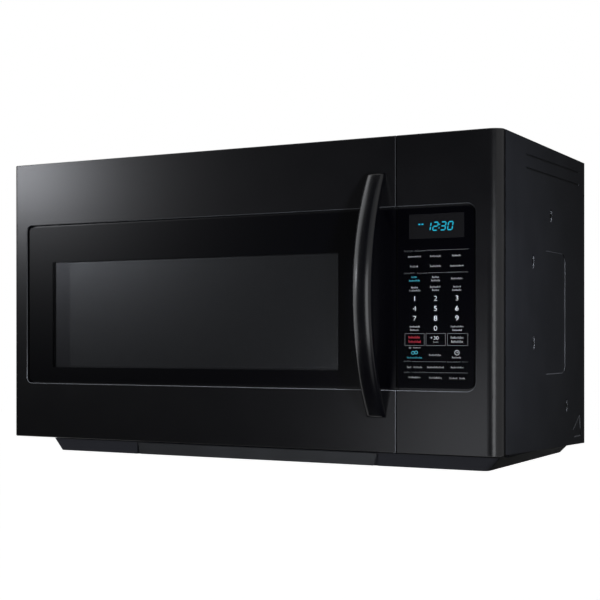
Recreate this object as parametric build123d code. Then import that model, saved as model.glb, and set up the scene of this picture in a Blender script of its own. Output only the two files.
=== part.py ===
from build123d import *
import math
import os

# Over-the-range microwave oven with hood. Millimetres. +X is right seen from the front,
# +Y goes to the wall, +Z is up. The origin is on the wall face, mid width, level with
# the door's lower edge and with the slots that hang on the wall plate.

# Whole appliance
width = 759.0
body_depth = 367.0
front_height = 402.4
base_drop = 18.0
panel_depth = 14.2
sheet = 0.8
wall = 2.5
panel_width = 138.5
seam_gap = 1.8
door_back_gap = 2.0
door_base_gap = 1.2
side_rise_front = 1.5
side_drop_rear = 8.1
seat_gap = 0.3
screw_r = 2.0
screw_hole_play = 0.1

half = width / 2
front = -body_depth
top = front_height
case_front = front + panel_depth
case_in = half - sheet
top_in = top - sheet
panel_left = half - panel_width
door_right = panel_left - seam_gap
door_back = case_front - door_back_gap
deck = -door_base_gap

# Front glass band, sunk in the door and the control panel
band_low = 79.4
band_top_gap = 90.5
band_left_gap = 23.0
band_right_gap = 33.0
band_corner_left = 8.0
band_corner_right = 12.0
glass_gap = 3.0
glass_sink = 2.0
glass_thick = 4.0
glass_end_gap = 0.4
glass_front = front + glass_sink
glass_back = glass_front + glass_thick
floor_back = glass_back + wall
window_left_gap = 74.0
window_right_gap = 82.3
window_low = 103.4
window_top_gap = 145.7
window_ledge = 7.0
display_in = (14.0, 12.2)
display_under = 8.1
display_h = 36.6
door_edge_r = 4.0
top_edge_r = 2.0
panel_corner = (18.5, 13.5)
seam_groove = (3.0, 1.2)
seam_chamfer = 0.8
band_high = top - band_top_gap
band_left = -half + band_left_gap
band_right = half - band_right_gap
window_x = (-half + window_left_gap, door_right - window_right_gap)
window_z = (window_low, top - window_top_gap)

# Oven cavity and its front plate
cavity_left_gap = 39.5
cavity_right_gap = 43.2
cavity_low = 58.0
cavity_top_gap = 104.4
cavity_set_back = 29.0
cavity_rear_gap = 14.0
cavity_corner_r = 12.0
front_plate_gap = 1.2
vent_pitch = 8.0
vent_hole_r = 2.0
vent_under = 36.0
lamp_vent_y = -72.0
cavity_left = -half + cavity_left_gap
cavity_right = door_right - cavity_right_gap
cavity_high = top - cavity_top_gap
cavity_front = front + cavity_set_back
cavity_back = -cavity_rear_gap
front_plate_right = door_right - front_plate_gap
cavity_mid_x = (cavity_left + cavity_right) / 2
cavity_mid_y = (cavity_front + cavity_back) / 2

# Door back: choke ring, cover, pane
cover_left_gap = 34.5
cover_right_gap = 3.2
cover_low = 30.0
cover_top_gap = 76.4
cover_back_gap = 1.5
cover_wall = 2.0
choke_wall = 1.0
choke_inset = 4.0
choke_depth = 11.8
choke_channel = 19.0
choke_right_gap = 35.0
collar_inset = 6.5
pane_thick = 2.0
pane_border = 6.0
mesh_hole_r = 3.2
mesh_cols = 30
mesh_rows = 10
cover_back = cavity_front - cover_back_gap
cover_x = (-half + cover_left_gap, door_right - cover_right_gap)
cover_z = (cover_low, top - cover_top_gap)

# Hinges
hinge_in = 5.0
hinge_pin_r = 2.0
hinge_pin_play = 0.05
hinge_arm_t = 2.0
hinge_arm_w = 12.0
hinge_arm_lip = 3.0
hinge_front_skin = 1.6
hinge_arm_edge = 1.7
hinge_leg_h = 38.0
hinge_pin_h = 18.0
hinge_boss_r = 4.4
hinge_boss_h = 26.0
pivot_x = -half + hinge_in
pivot_y = door_back - hinge_in

# Latch: lever with two hooks in the door, catch frame behind the front plate
hook_in = 17.7
hook_t = 4.0
hook_low = 125.0
hook_top_gap = 126.4
hook_h = 18.0
hook_reach = 33.2
hook_nose = 3.0
hook_nose_len = 12.0
catch_in = 6.0
catch_len = 8.0
latch_travel = 4.0
lever_set = 2.8
lever_t = 6.5
lever_over = 24.0
lever_under = 20.0
hook_slot_w = 12.0
hook_slot_play = 2.0
latch_frame_w = 22.0
latch_frame_over = 25.0
latch_frame_len = 38.0
hook_x = door_right - hook_in
hook_z = (hook_low, top - hook_top_gap)
hook_tip_y = cavity_front + hook_reach - 1.0
catch_y = (cavity_front + catch_in, cavity_front + catch_in + catch_len)
lever_y = (door_back + lever_set, door_back + lever_set + lever_t)
lever_z = (hook_z[0] - lever_under, hook_z[1] + lever_over)
latch_frame_x = (hook_x - latch_frame_w / 2, hook_x + latch_frame_w / 2)
latch_frame_z = (hook_z[0] - latch_frame_over, hook_z[1] + latch_frame_over)
latch_frame_back = cavity_front + latch_frame_len
spring_wire_r = 0.4
spring_r = 3.0
spring_turns = 8
spring_len = 24.0
plunger_r = 2.0
plunger_play = 0.05
plunger_travel = 1.5
plunger_in = 4.0
switch_size = (26.0, 16.0, 10.2)

# Handle bow
handle_in = 26.5
handle_w = 26.0
handle_t = 15.0
handle_low = 44.5
handle_top_gap = 47.4
handle_bow = 43.3
handle_foot_sink = 1.0
handle_corner_r = 6.2
handle_screw_in = 6.5
handle_x = door_right - handle_in
handle_z = (handle_low, top - handle_top_gap)

# Base pan
pan_sheet = 1.0
pan_front_in = 3.0
pan_side_in = 18.5
pan_rear_gap = 54.0
pan_flare = 14.0
pan_corner_r = 8.0
pan_notch_in = 64.0
pan_notch_len = (44.0, 87.0)
pan_flange_h = 12.0
strip_left_gap = 221.5
strip_right_gap = 167.5
strip_t = 4.0
strip_proud = 1.8
strip_gap = 2.0
strip_end_lean = 4.0
pan_bottom = -base_drop
pan_front = front + pan_front_in
pan_right = half - pan_side_in
pan_left = -half + pan_side_in
pan_rear = -pan_rear_gap
pan_notch_x = pan_left + pan_notch_in
pan_notch_y = (pan_front + pan_notch_len[0], pan_front + pan_notch_len[1])
strip_x = (-half + strip_left_gap, half - strip_right_gap)

# Grease filters and cooktop lamps
filter_in = 136.0
filter_wall_gap = 128.0
filter_size = (200.0, 130.0, 8.0)
filter_frame = 9.0
filter_mesh_t = 2.4
filter_play = 0.5
filter_rise = 0.5
filter_holes = (16, 9)
filter_hole = 7.0
filter_guide_h = 6.0
lamp_x = 150.0
lamp_front_in = 64.0
lens_size = (88.0, 56.0)
lens_t = 1.6
lens_play = 1.0
lens_pin_r = 1.2
lens_pin_play = 0.05
lens_pin_up = 4.2
lens_pin_in = 3.2
lens_rear_play = 5.0
lens_ear_t = 3.0
bulb_r = 5.5
bulb_len = 26.0
socket_size = (16.0, 16.0, 12.5)
filter_x = pan_right - filter_in
filter_y = -filter_wall_gap
lamp_y = pan_front + lamp_front_in

# Turntable
coupler_r = 10.0
coupler_shaft_r = 3.5
coupler_lobe_w = 6.0
coupler_lobe_len = 13.0
coupler_h = 9.0
floor_hole_r = 4.5
motor_r = 25.0
motor_h = 15.0
motor_bore_play = 0.05
ring_hub_r = (15.5, 20.5)
ring_rim_r = (97.0, 103.0)
ring_t = 5.0
roller_r = 7.5
roller_w = 8.0
roller_track_r = 110.0
roller_pin_r = 2.0
roller_play = 0.1
tray_r = 158.0
tray_t = 5.0
tray_rim_h = 14.0
tray_gap = 0.3
tray_peg_r = 3.5
tray_peg_ring = 11.5

# Hood blower
blower_y = -70.0
blower_top_gap = 52.4
wheel_r = 40.0
wheel_w = 60.0
wheel_bore_play = 0.02
wheel_blades = 24
wheel_x = 80.0
blower_shaft_r = 4.0
blower_motor_r = 36.0
blower_motor_w = 76.0
blower_casing_w = 74.0
blower_casing_y = (-122.0, -16.0)
casing_sheet = 1.2
scroll_r = 46.0
inlet_r = 32.0
exhaust_w = 254.0
exhaust_d = 83.0
exhaust_y = -58.0
blower_z = top - blower_top_gap

# Top vent and cable entry
grille_side_gap = (89.5, 189.5)
grille_front_in = 34.0
grille_depth = 42.0
grille_play = 0.5
grille_slot = 5.0
grille_pitch = 12.0
charcoal_t = 14.0
charcoal_play = 1.5
cable_in = 49.5
cable_y = -60.0
cable_bore_r = 5.5
cable_hole_r = 13.0
grille_x = (-half + grille_side_gap[0], half - grille_side_gap[1])
grille_y = (front + grille_front_in, front + grille_front_in + grille_depth)
cable_x = half - cable_in

# Wall and cabinet fixings
hook_slot_spacing = 400.0
wall_slot_len = 30.0
wall_slot_w = 6.0
cabinet_bolt_spacing = 560.0
cabinet_bolt_y = -230.0
cabinet_bolt_r = 3.2
cabinet_nut_r = 7.0
cabinet_nut_h = 8.0

# Microwave power parts behind the control panel
waveguide_y = (-215.0, -105.0)
waveguide_h = 90.0
waveguide_under = 8.0
waveguide_w = 40.0
feed_size = (84.0, 44.0)
feed_under = 48.0
mica_size = (104.0, 64.0)
mica_t = 0.7
magnetron_size = (96.0, 84.0, 78.0)
antenna_r = 9.0
antenna_len = 24.0
core_size = (100.0, 60.0, 84.0)
core_leg = 40.0
core_window = 20.0
core_side_in = 67.5
core_front_in = 87.0
coil_play = 0.5
coil_reach = 14.0
capacitor_size = (50.0, 32.0, 90.0)
capacitor_in = 30.0
capacitor_y = -255.0
fan_side_in = 74.5
fan_under = 48.0
fan_y = -40.0
fan_blade_r = 49.0
fan_hole_play = 3.0
fan_depth = 20.0
fan_shroud_size = 120.0
fan_shaft_r = 2.5
fan_motor_size = (50.0, 26.0, 50.0)
board_t = 1.6
waveguide_z = (cavity_high - waveguide_under - waveguide_h, cavity_high - waveguide_under)
feed_z = cavity_high - feed_under
core_x = half - core_side_in
core_y = front + core_front_in
capacitor_x = cavity_right + capacitor_in
fan_x = half - fan_side_in
fan_z = cavity_high - fan_under

# Side wall pressings and screws, as (y, z) places on the side
screw_places = [(-164.3, 311.0), (-242.0, 245.3), (-240.3, 139.8), (-90.8, 50.8)]
dimple_h = 18.0
dimple_w = 7.5
dimple_depth = 1.2
press_depth = 0.8
line_front_in = 96.5
line_wall_gap = 28.4
line_w = 2.4
line_depth = 0.5
line_top_gaps = [(21.0, 17.7), (38.1, 35.4)]
line_y = (front + line_front_in, -line_wall_gap)
line_places = [(top - low, top - high) for low, high in line_top_gaps]
side_panel_y = (-200.0, -97.5)
side_panel_z = (97.3, 262.3)
side_panel_r = 13.0
gusset = [(-24.0, 33.5), (-59.0, 13.0), (-49.0, 4.5), (-18.0, 4.5)]


def around(middle, size):
    # The low and high end of a length about its middle.
    return (middle - size / 2, middle + size / 2)


def block(x, y, z):
    # A box from low and high corners.
    size = [max(pair) - min(pair) for pair in (x, y, z)]
    middle = [(pair[0] + pair[1]) / 2 for pair in (x, y, z)]
    return Pos(*middle) * Box(*size)


def rod_x(r, x, y, z):
    return Pos((x[0] + x[1]) / 2, y, z) * Rot(0, 90, 0) * Cylinder(r, abs(x[1] - x[0]))


def rod_y(r, x, y, z):
    return Pos(x, (y[0] + y[1]) / 2, z) * Rot(90, 0, 0) * Cylinder(r, abs(y[1] - y[0]))


def rod_z(r, x, y, z):
    return Pos(x, y, (z[0] + z[1]) / 2) * Cylinder(r, abs(z[1] - z[0]))


def plate_y(x, z, y, r):
    # A plate square to Y with rounded corners.
    base = Plane.XZ.offset(-max(y))
    outline = Pos((x[0] + x[1]) / 2, (z[0] + z[1]) / 2) * RectangleRounded(x[1] - x[0], z[1] - z[0], r)
    return extrude(base * outline, max(y) - min(y))


def prism_x(points, x):
    # A polygon given as (y, z) points, carried along X.
    outline = make_face(Polyline(*points, close=True))
    return extrude(Plane.YZ.offset(min(x)) * outline, max(x) - min(x))


def prism_z(points, z, r=0.0):
    # A polygon given as (x, y) points, carried along Z, its corners rounded.
    outline = make_face(Polyline(*points, close=True))
    if r > 0:
        outline = fillet(outline.vertices(), r)
    return extrude(Plane.XY.offset(min(z)) * outline, max(z) - min(z))


def slot_y(centre_x, z, length, w, y):
    # A round-ended hole through a sheet square to Y, long in X.
    outline = Plane.XZ.offset(-max(y)) * Pos(centre_x, z) * SlotOverall(length, w)
    return extrude(outline, max(y) - min(y))


def grid(centre, count, pitch):
    start = centre - (count - 1) * pitch / 2
    return [start + i * pitch for i in range(count)]


def side_press(side, outline, depth):
    # A shallow pressing in a side wall: sunk outside, standing in inside.
    sink = extrude(Plane.YZ.offset(side * half) * outline, -side * depth)
    back = extrude(Plane.YZ.offset(side * case_in) * offset(outline, sheet), -side * depth)
    return sink, back


def side_pressings(side):
    # Outlines and depths of every pressing on one side.
    found = []
    for y, z in screw_places:
        found.append((Pos(y, z) * Rot(0, 0, 90) * SlotOverall(dimple_h, dimple_w), dimple_depth))
    for z_front, z_rear in line_places:
        points = [(line_y[0], z_front), (line_y[1], z_rear)]
        corners = [(y, z + line_w / 2) for y, z in points]
        corners += [(y, z - line_w / 2) for y, z in reversed(points)]
        found.append((make_face(Polyline(*corners, close=True)), line_depth))
    middle = (sum(side_panel_y) / 2, sum(side_panel_z) / 2)
    size = (side_panel_y[1] - side_panel_y[0], side_panel_z[1] - side_panel_z[0])
    found.append((Pos(*middle) * RectangleRounded(*size, side_panel_r), press_depth))
    found.append((make_face(Polyline(*gusset, close=True)), press_depth))
    return found


def outer_case():
    low = -side_drop_rear
    outer = block((-half, half), (case_front, 0), (low, top))
    bends = outer.edges().filter_by(Axis.Y).group_by(Axis.Z)[-1]
    outer = fillet(bends, sheet)
    case = outer - block((-case_in, case_in), (case_front - 1, 1), (low - 1, top_in))
    for side in (-1, 1):
        for outline, depth in side_pressings(side):
            sink, back = side_press(side, outline, depth)
            case = case + back - sink
        for y, z in screw_places:
            reach = (side * (half + 1), side * (case_in - dimple_depth - 1))
            case -= rod_x(screw_r + screw_hole_play, reach, y, z)
        nut_x = side * cabinet_bolt_spacing / 2
        case += rod_z(cabinet_nut_r, nut_x, cabinet_bolt_y, (top_in - cabinet_nut_h, top_in))
        case -= rod_z(cabinet_bolt_r, nut_x, cabinet_bolt_y, (top_in - cabinet_nut_h - 1, top + 1))
    groove_y = (case_front - 1, case_front + seam_groove[0])
    case -= block((half - seam_groove[1], half + 1), groove_y, (low - 1, top + 1))
    hem_x = (case_in - seam_groove[1], half - seam_groove[1])
    case += block(hem_x, (case_front, groove_y[1]), (low, top - sheet / 2))
    hem_y = (groove_y[1] - sheet / 2, groove_y[1] + sheet / 2)
    case += block((hem_x[0], half - sheet / 2), hem_y, (low, top - sheet / 2))
    wedge = [(case_front - 1, low - 1), (1, low - 1), (1, low), (0, low)]
    wedge += [(case_front, side_rise_front), (case_front - 1, side_rise_front)]
    case -= prism_x(wedge, (-half - 1, half + 1))
    case -= block(grille_x, grille_y, (top_in - 1, top + 1))
    exhaust = ((-exhaust_w / 2, exhaust_w / 2), (exhaust_y - exhaust_d / 2, exhaust_y + exhaust_d / 2))
    case -= block(*exhaust, (top_in - 1, top + 1))
    case -= rod_z(cable_hole_r, cable_x, cable_y, (top_in - 1, top + 1))
    return case


def rear_plate():
    plate = block((-case_in, case_in), (-sheet, 0), (-side_drop_rear + sheet, top_in))
    for x in (-hook_slot_spacing / 2, hook_slot_spacing / 2):
        plate -= slot_y(x, 0, wall_slot_len, wall_slot_w, (-sheet - 1, 1))
    return plate


def pan_outline(flare):
    # Plan of the base: straight front, bevelled sides, cut back at the hinge corner.
    points = [(pan_notch_x - flare, pan_front), (pan_right + flare, pan_front)]
    points += [(pan_right + flare, pan_rear + flare), (pan_left - flare, pan_rear + flare)]
    points += [(pan_left - flare, pan_notch_y[1]), (pan_notch_x - flare, pan_notch_y[0])]
    outline = make_face(Polyline(*points, close=True))
    return fillet(outline.vertices(), pan_corner_r)


def pan_tray(inset, low, high):
    # A tray body that widens upwards, drawn in by inset on every side.
    flare = pan_flare
    bottom = offset(pan_outline(0), -inset) if inset else pan_outline(0)
    upper = offset(pan_outline(flare), -inset) if inset else pan_outline(flare)
    return loft([Plane.XY.offset(low) * bottom, Plane.XY.offset(high) * upper])


def filter_bay(side, play):
    x = side * filter_x
    half_x = filter_size[0] / 2 + play
    half_y = filter_size[1] / 2 + play
    return (x - half_x, x + half_x), (filter_y - half_y, filter_y + half_y)


def lens_bay(side):
    x = side * lamp_x
    half_x = lens_size[0] / 2 + lens_play
    low_y = lamp_y - lens_size[1] / 2 - lens_play
    return (x - half_x, x + half_x), (low_y, lamp_y + lens_size[1] / 2 + lens_rear_play)


def lens_axis():
    return lamp_y + lens_size[1] / 2 - lens_pin_in, pan_bottom + lens_pin_up


def base_pan():
    pan = pan_tray(0, pan_bottom, deck)
    jog = (strip_x[0] - strip_gap, strip_x[1] + strip_gap)
    jog_back = pan_front + strip_t - strip_proud
    pan -= block(jog, (pan_front - 1, jog_back), (pan_bottom - 1, deck - pan_sheet))
    hollow = pan_tray(pan_sheet, pan_bottom + pan_sheet, deck - pan_sheet)
    jog_in = (jog[0] - pan_sheet, jog[1] + pan_sheet)
    hollow -= block(jog_in, (pan_front - 1, jog_back + pan_sheet), (pan_bottom - 1, deck))
    pan -= hollow
    pan += block((-case_in, case_in), (cavity_front, -sheet), (deck - pan_sheet, deck))
    pan -= block((-case_in - 1, pan_left - pan_flare), (cavity_front - 1, -340), (deck - 2, deck + 1))
    flange_y = (cavity_front + sheet, gusset[1][0] - 4)
    for side in (-1, 1):
        flange = (side * (case_in - pan_sheet), side * case_in)
        pan += block(flange, flange_y, (deck - pan_sheet, pan_flange_h))
    guide_top = pan_bottom + pan_sheet + filter_guide_h
    for side in (-1, 1):
        bay_x, bay_y = filter_bay(side, filter_play)
        rim_x, rim_y = filter_bay(side, filter_play + pan_sheet)
        pan += block(rim_x, rim_y, (pan_bottom, guide_top))
        pan -= block(bay_x, bay_y, (pan_bottom - 1, guide_top + 1))
        air_x, air_y = filter_bay(side, -filter_frame)
        pan -= block(air_x, air_y, (pan_bottom, deck + 1))
        lens_x, lens_y = lens_bay(side)
        pan -= block(lens_x, lens_y, (pan_bottom - 1, pan_bottom + pan_sheet + 0.01))
        axis_y, axis_z = lens_axis()
        for end in (-1, 1):
            inner_x = side * lamp_x + end * (lens_size[0] / 2 + lens_play / 2)
            outer_x = inner_x + end * 4.0
            lug_y = (axis_y - 3.0, axis_y + 3.0)
            lug_x = (inner_x, outer_x)
            lug = block(lug_x, lug_y, (pan_bottom + lens_t + 0.4, axis_z + 3.0))
            base_x = (inner_x + end * lens_play / 2, outer_x)
            lug += block(base_x, lug_y, (pan_bottom, axis_z))
            pin = (inner_x - end * (lens_play / 2 + lens_ear_t - 0.5), inner_x)
            lug += rod_x(lens_pin_r, pin, axis_y, axis_z)
            pan += lug
    for x in (-hook_slot_spacing / 2, hook_slot_spacing / 2):
        clear = (x - wall_slot_len / 2, x + wall_slot_len / 2)
        pan -= block(clear, (-12, 0), (deck - pan_sheet - 1, deck + 1))
    return pan


def base_front_strip():
    back = pan_front + strip_t - strip_proud
    face = back - strip_t
    high = deck - pan_sheet
    points = [(strip_x[0], high), (strip_x[1], high)]
    points += [(strip_x[1] - strip_end_lean, pan_bottom + 0.2)]
    points += [(strip_x[0] + strip_end_lean, pan_bottom + 0.2)]
    outline = fillet(make_face(Polyline(*points, close=True)).vertices(), 1.2)
    strip = extrude(Plane.XZ.offset(-back) * outline, strip_t)
    return strip


def vent_grille():
    frame_x = (grille_x[0] + grille_play, grille_x[1] - grille_play)
    frame_y = (grille_y[0] + grille_play, grille_y[1] - grille_play)
    low = top_in - wall - charcoal_t - charcoal_play
    grille = block(frame_x, frame_y, (low, top))
    flange = ((frame_x[0] - 4, frame_x[1] + 4), (frame_y[0] - 4, frame_y[1] + 4))
    grille += block(*flange, (top_in - 1.5, top_in))
    basket_x = (frame_x[0] + wall, frame_x[1] - wall)
    basket_y = (frame_y[0] + wall, frame_y[1] - wall)
    grille -= block(basket_x, basket_y, (low + 1.5, top_in - 1.5))
    lip_x = (basket_x[0] + 4, basket_x[1] - 4)
    lip_y = (basket_y[0] + 4, basket_y[1] - 4)
    grille -= block(lip_x, lip_y, (low - 1, low + 2))
    count = int((basket_x[1] - basket_x[0]) // grille_pitch)
    for x in grid(sum(basket_x) / 2, count, grille_pitch):
        grille -= block((x - grille_slot / 2, x + grille_slot / 2), lip_y, (top_in - 2, top + 1))
    return grille


def charcoal_filter():
    low = top_in - wall - charcoal_t - charcoal_play + 1.5
    x = (grille_x[0] + grille_play + wall + seat_gap, grille_x[1] - grille_play - wall - seat_gap)
    y = (grille_y[0] + grille_play + wall + seat_gap, grille_y[1] - grille_play - wall - seat_gap)
    return block(x, y, (low, low + charcoal_t))


def cable_grommet():
    low = top_in - 5.0
    grommet = rod_z(cable_hole_r + 4, cable_x, cable_y, (low, top_in))
    grommet += rod_z(cable_hole_r - 0.1, cable_x, cable_y, (low, top))
    grommet -= rod_z(cable_bore_r, cable_x, cable_y, (low - 1, top + 1))
    return grommet


def case_screws():
    screws = []
    for side in (-1, 1):
        for y, z in screw_places:
            seat = side * (half - dimple_depth)
            head = rod_x(3.4, (seat, seat + side * (dimple_depth - 0.1)), y, z)
            shank = rod_x(screw_r, (seat, seat - side * 7.0), y, z)
            screws.append(head + shank)
    return Compound(children=screws)


def oven_cavity():
    outer = block(
        (cavity_left - sheet, cavity_right + sheet),
        (cavity_front, cavity_back + sheet),
        (cavity_low - sheet, cavity_high + sheet),
    )
    outer = fillet(outer.edges().filter_by(Axis.Y), cavity_corner_r + sheet)
    inner = block((cavity_left, cavity_right), (cavity_front - 1, cavity_back), (cavity_low, cavity_high))
    inner = fillet(inner.edges().filter_by(Axis.Y), cavity_corner_r)
    plate = block((-case_in, front_plate_right), (cavity_front, cavity_front + sheet), (deck, top_in))
    cavity = outer + plate - inner
    slot_x = (hook_x - hook_slot_w / 2, hook_x + hook_slot_w / 2)
    for z in hook_z:
        slot_z = hook_slot_z(z)
        cavity -= block(slot_x, (cavity_front - 1, cavity_front + 2), slot_z)
    cavity -= rod_z(floor_hole_r, cavity_mid_x, cavity_mid_y, (cavity_low - 3, cavity_low + 1))
    through = (cavity_right - 1, cavity_right + sheet + 1)
    feed_y = sum(waveguide_y) / 2
    cavity -= block(
        through,
        (feed_y - feed_size[0] / 2, feed_y + feed_size[0] / 2),
        (feed_z - feed_size[1] / 2, feed_z + feed_size[1] / 2),
    )
    through_left = (cavity_left - 2, cavity_left + 1)
    vents = [(through, cavity_front + 53, 6, 5), (through, lamp_vent_y, 4, 4)]
    vents += [(through_left, cavity_back - 76, 6, 4)]
    for reach, middle, columns, rows in vents:
        for y in grid(middle, columns, vent_pitch):
            for z in grid(cavity_high - vent_under, rows, vent_pitch):
                cavity -= rod_x(vent_hole_r, reach, y, z)
    return cavity


def hook_slot_z(z):
    low = z - hook_h / 2 - hook_nose - hook_slot_play
    return low, z + hook_h / 2 + latch_travel + hook_slot_play


def waveguide_cover():
    y = sum(waveguide_y) / 2
    inner = cavity_right - seat_gap
    return block(
        (inner - mica_t, inner),
        (y - mica_size[0] / 2, y + mica_size[0] / 2),
        (feed_z - mica_size[1] / 2, feed_z + mica_size[1] / 2),
    )


def waveguide():
    left = cavity_right + sheet
    duct = block((left, left + waveguide_w), waveguide_y, waveguide_z)
    duct -= block(
        (left - 1, left + waveguide_w - sheet),
        (waveguide_y[0] + sheet, waveguide_y[1] - sheet),
        (waveguide_z[0] + sheet, waveguide_z[1] - sheet),
    )
    y = sum(waveguide_y) / 2
    reach = (left + waveguide_w - 2, left + waveguide_w + 1)
    return duct - rod_x(antenna_r + 1, reach, y, sum(waveguide_z) / 2)


def magnetron():
    left = cavity_right + sheet + waveguide_w
    y = sum(waveguide_y) / 2
    z = sum(waveguide_z) / 2
    size_x, size_y, size_z = magnetron_size
    yoke = block((left, left + size_x), around(y, size_y), around(z, size_z))
    yoke -= block((left + 3, left + size_x - 24), around(y, 2 * size_y), around(z, size_z - 6))
    for x in grid(left + 37.5, 7, 8.5):
        yoke += block(around(x, 1.0), around(y, size_y), around(z, size_z - 4))
    yoke += rod_x(20.0, (left + 2, left + size_x - 20), y, z)
    yoke += rod_x(antenna_r, (left - antenna_len, left + 3), y, z)
    connector_y = (y - size_y / 2 - 12, y - size_y / 2 + 1)
    yoke += block((left + size_x - 18, left + size_x - 4), connector_y, (z - 16, z + 16))
    return yoke


def core_window_x(side):
    near = core_x + side * core_leg / 2
    return (near, near + side * core_window)


def transformer_core():
    size_x, size_y, size_z = core_size
    core = block(
        (core_x - size_x / 2, core_x + size_x / 2),
        (core_y - size_y / 2, core_y + size_y / 2),
        (deck, deck + size_z),
    )
    for side in (-1, 1):
        window = core_window_x(side)
        core -= block(window, (core_y - size_y, core_y + size_y), (deck + 12, deck + size_z - 12))
    return core


def transformer_windings():
    leg_x = core_leg / 2 + coil_play
    leg_y = core_size[1] / 2 + coil_play
    out_x = core_leg / 2 + core_window - coil_play
    out_y = core_size[1] / 2 + coil_reach
    coils = []
    low = deck + 12 + coil_play
    high = deck + core_size[2] - 12 - coil_play
    split = low + (high - low) * 0.45
    for z in ((low, split - 1.5), (split + 1.5, high)):
        outer = block(around(core_x, 2 * out_x), around(core_y, 2 * out_y), z)
        outer = fillet(outer.edges().filter_by(Axis.Z), coil_reach * 0.8)
        inner = block(around(core_x, 2 * leg_x), around(core_y, 2 * leg_y), (z[0] - 1, z[1] + 1))
        coils.append(outer - inner)
    return Compound(children=coils)


def capacitor():
    size_x, size_y, size_z = capacitor_size
    outline = Pos(capacitor_x, capacitor_y) * Rot(0, 0, 90) * SlotOverall(size_x, size_y)
    can = extrude(Plane.XY.offset(deck) * outline, size_z)
    for y in (capacitor_y - 9, capacitor_y + 9):
        can += block(around(capacitor_x, 6), around(y, 1.0), (deck + size_z - 1, deck + size_z + 8))
    return can


def noise_filter_board():
    back = -sheet - 6.0
    face = back - board_t
    right = half - 59.5
    high = top - 12.4
    board = block((right - 90, right), (face, back), (high - 65, high))
    for x in (right - 84, right - 6):
        for z in (high - 59, high - 6):
            board += rod_y(2.5, x, (back, -sheet), z)
    board += block((right - 80, right - 58), (face - 18, face), (high - 50, high - 18))
    board += rod_y(13.0, right - 34, (face - 16, face), high - 34)
    return board


def thermal_cutouts():
    places = [
        rod_z(8.0, cavity_mid_x - 60, cavity_mid_y - 60, (cavity_high + sheet, cavity_high + sheet + 8)),
        rod_x(8.0, (cavity_left - sheet - 8, cavity_left - sheet), cavity_mid_y, cavity_low + 120),
        rod_x(
            8.0,
            (cavity_right + sheet + waveguide_w, cavity_right + sheet + waveguide_w + 8),
            sum(waveguide_y) / 2 + magnetron_size[1] / 2 + 9,
            waveguide_z[0] + 20,
        ),
    ]
    return Compound(children=places)


def fan_shroud():
    side = fan_shroud_size / 2
    back = fan_y
    shroud = block((fan_x - side, fan_x + side), (back - fan_depth, back), (fan_z - side, fan_z + side))
    shroud -= rod_y(fan_blade_r + fan_hole_play, fan_x, (back - fan_depth - 1, back + 1), fan_z)
    for x in (fan_x - side, fan_x + side - 8):
        for z in (fan_z - side, fan_z + side - 8):
            shroud += block((x, x + 8), (back - 1, -sheet), (z, z + 8))
    arm_y = (back - 3, back)
    arm = block((fan_x - side, fan_x + side), arm_y, (fan_z - 4, fan_z + 4))
    arm += block((fan_x - 4, fan_x + 4), arm_y, (fan_z - side, fan_z + side))
    shroud += arm - rod_y(fan_shaft_r + 1.5, fan_x, (back - 4, back + 1), fan_z)
    return shroud


def cooling_fan_motor():
    size_x, size_y, size_z = fan_motor_size
    y = (fan_y, fan_y + size_y)
    motor = block((fan_x - size_x / 2, fan_x + size_x / 2), y, (fan_z - size_z / 2, fan_z + size_z / 2))
    motor = fillet(motor.edges().filter_by(Axis.Y), 6)
    return motor - rod_y(fan_shaft_r + motor_bore_play, fan_x, (fan_y - 1, fan_y + 16), fan_z)


def cooling_fan_blade():
    front_y = fan_y - fan_depth + 2
    back_y = fan_y - 5
    fan = rod_y(13.0, fan_x, (front_y, back_y), fan_z)
    fan += rod_y(fan_shaft_r, fan_x, (front_y, fan_y + 15), fan_z)
    for i in range(5):
        blade = Rot(90, 0, 0) * Rot(38, 0, 0) * Box(fan_blade_r - 11, 17, 1.4)
        blade = Pos((fan_blade_r + 11) / 2, 0, 0) * blade
        fan += Pos(fan_x, (front_y + back_y) / 2, fan_z) * Rot(0, i * 72, 0) * blade
    keep = rod_y(fan_blade_r, fan_x, (front_y - 2, fan_y + 20), fan_z)
    return fan & keep


def lamp_sockets():
    sockets = []
    size_x, size_y, size_z = socket_size
    for side in (-1, 1):
        x = side * lamp_x - bulb_len / 2 - 4
        high = deck - pan_sheet
        sockets.append(block((x - size_x, x), around(lamp_y, size_y), (high - size_z, high)))
    left = cavity_right + sheet
    y = lamp_vent_y
    z = cavity_high - vent_under
    holder = block((left, left + 34), (y - 18, y + 18), (z + 20, z + 22))
    holder += block((left, left + 2), (y - 18, y + 18), (z + 22, z + 30))
    holder += block((left + 32, left + 34), (y - 18, y + 18), (z - 12, z + 22))
    holder += block((left + 34 - 12, left + 33), (y - 8, y + 8), (z - 8, z + 8))
    sockets.append(holder)
    return Compound(children=sockets)


def bulb(x, y, z, direction):
    # A small capsule bulb lying along X, its base at x.
    length = bulb_len
    body = rod_x(bulb_r, (x, x + direction * (length - bulb_r)), y, z)
    return body + Pos(x + direction * (length - bulb_r), y, z) * Sphere(bulb_r)


def lamp_bulbs():
    bulbs = []
    high = deck - pan_sheet
    for side in (-1, 1):
        x = side * lamp_x - bulb_len / 2 - 4
        bulbs.append(bulb(x, lamp_y, high - bulb_r - 0.6, 1))
    base = cavity_right + sheet + 22
    tip = base - 18 + bulb_r
    z = cavity_high - vent_under
    body = rod_x(bulb_r, (base, tip), lamp_vent_y, z)
    bulbs.append(body + Pos(tip, lamp_vent_y, z) * Sphere(bulb_r))
    return Compound(children=bulbs)


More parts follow.
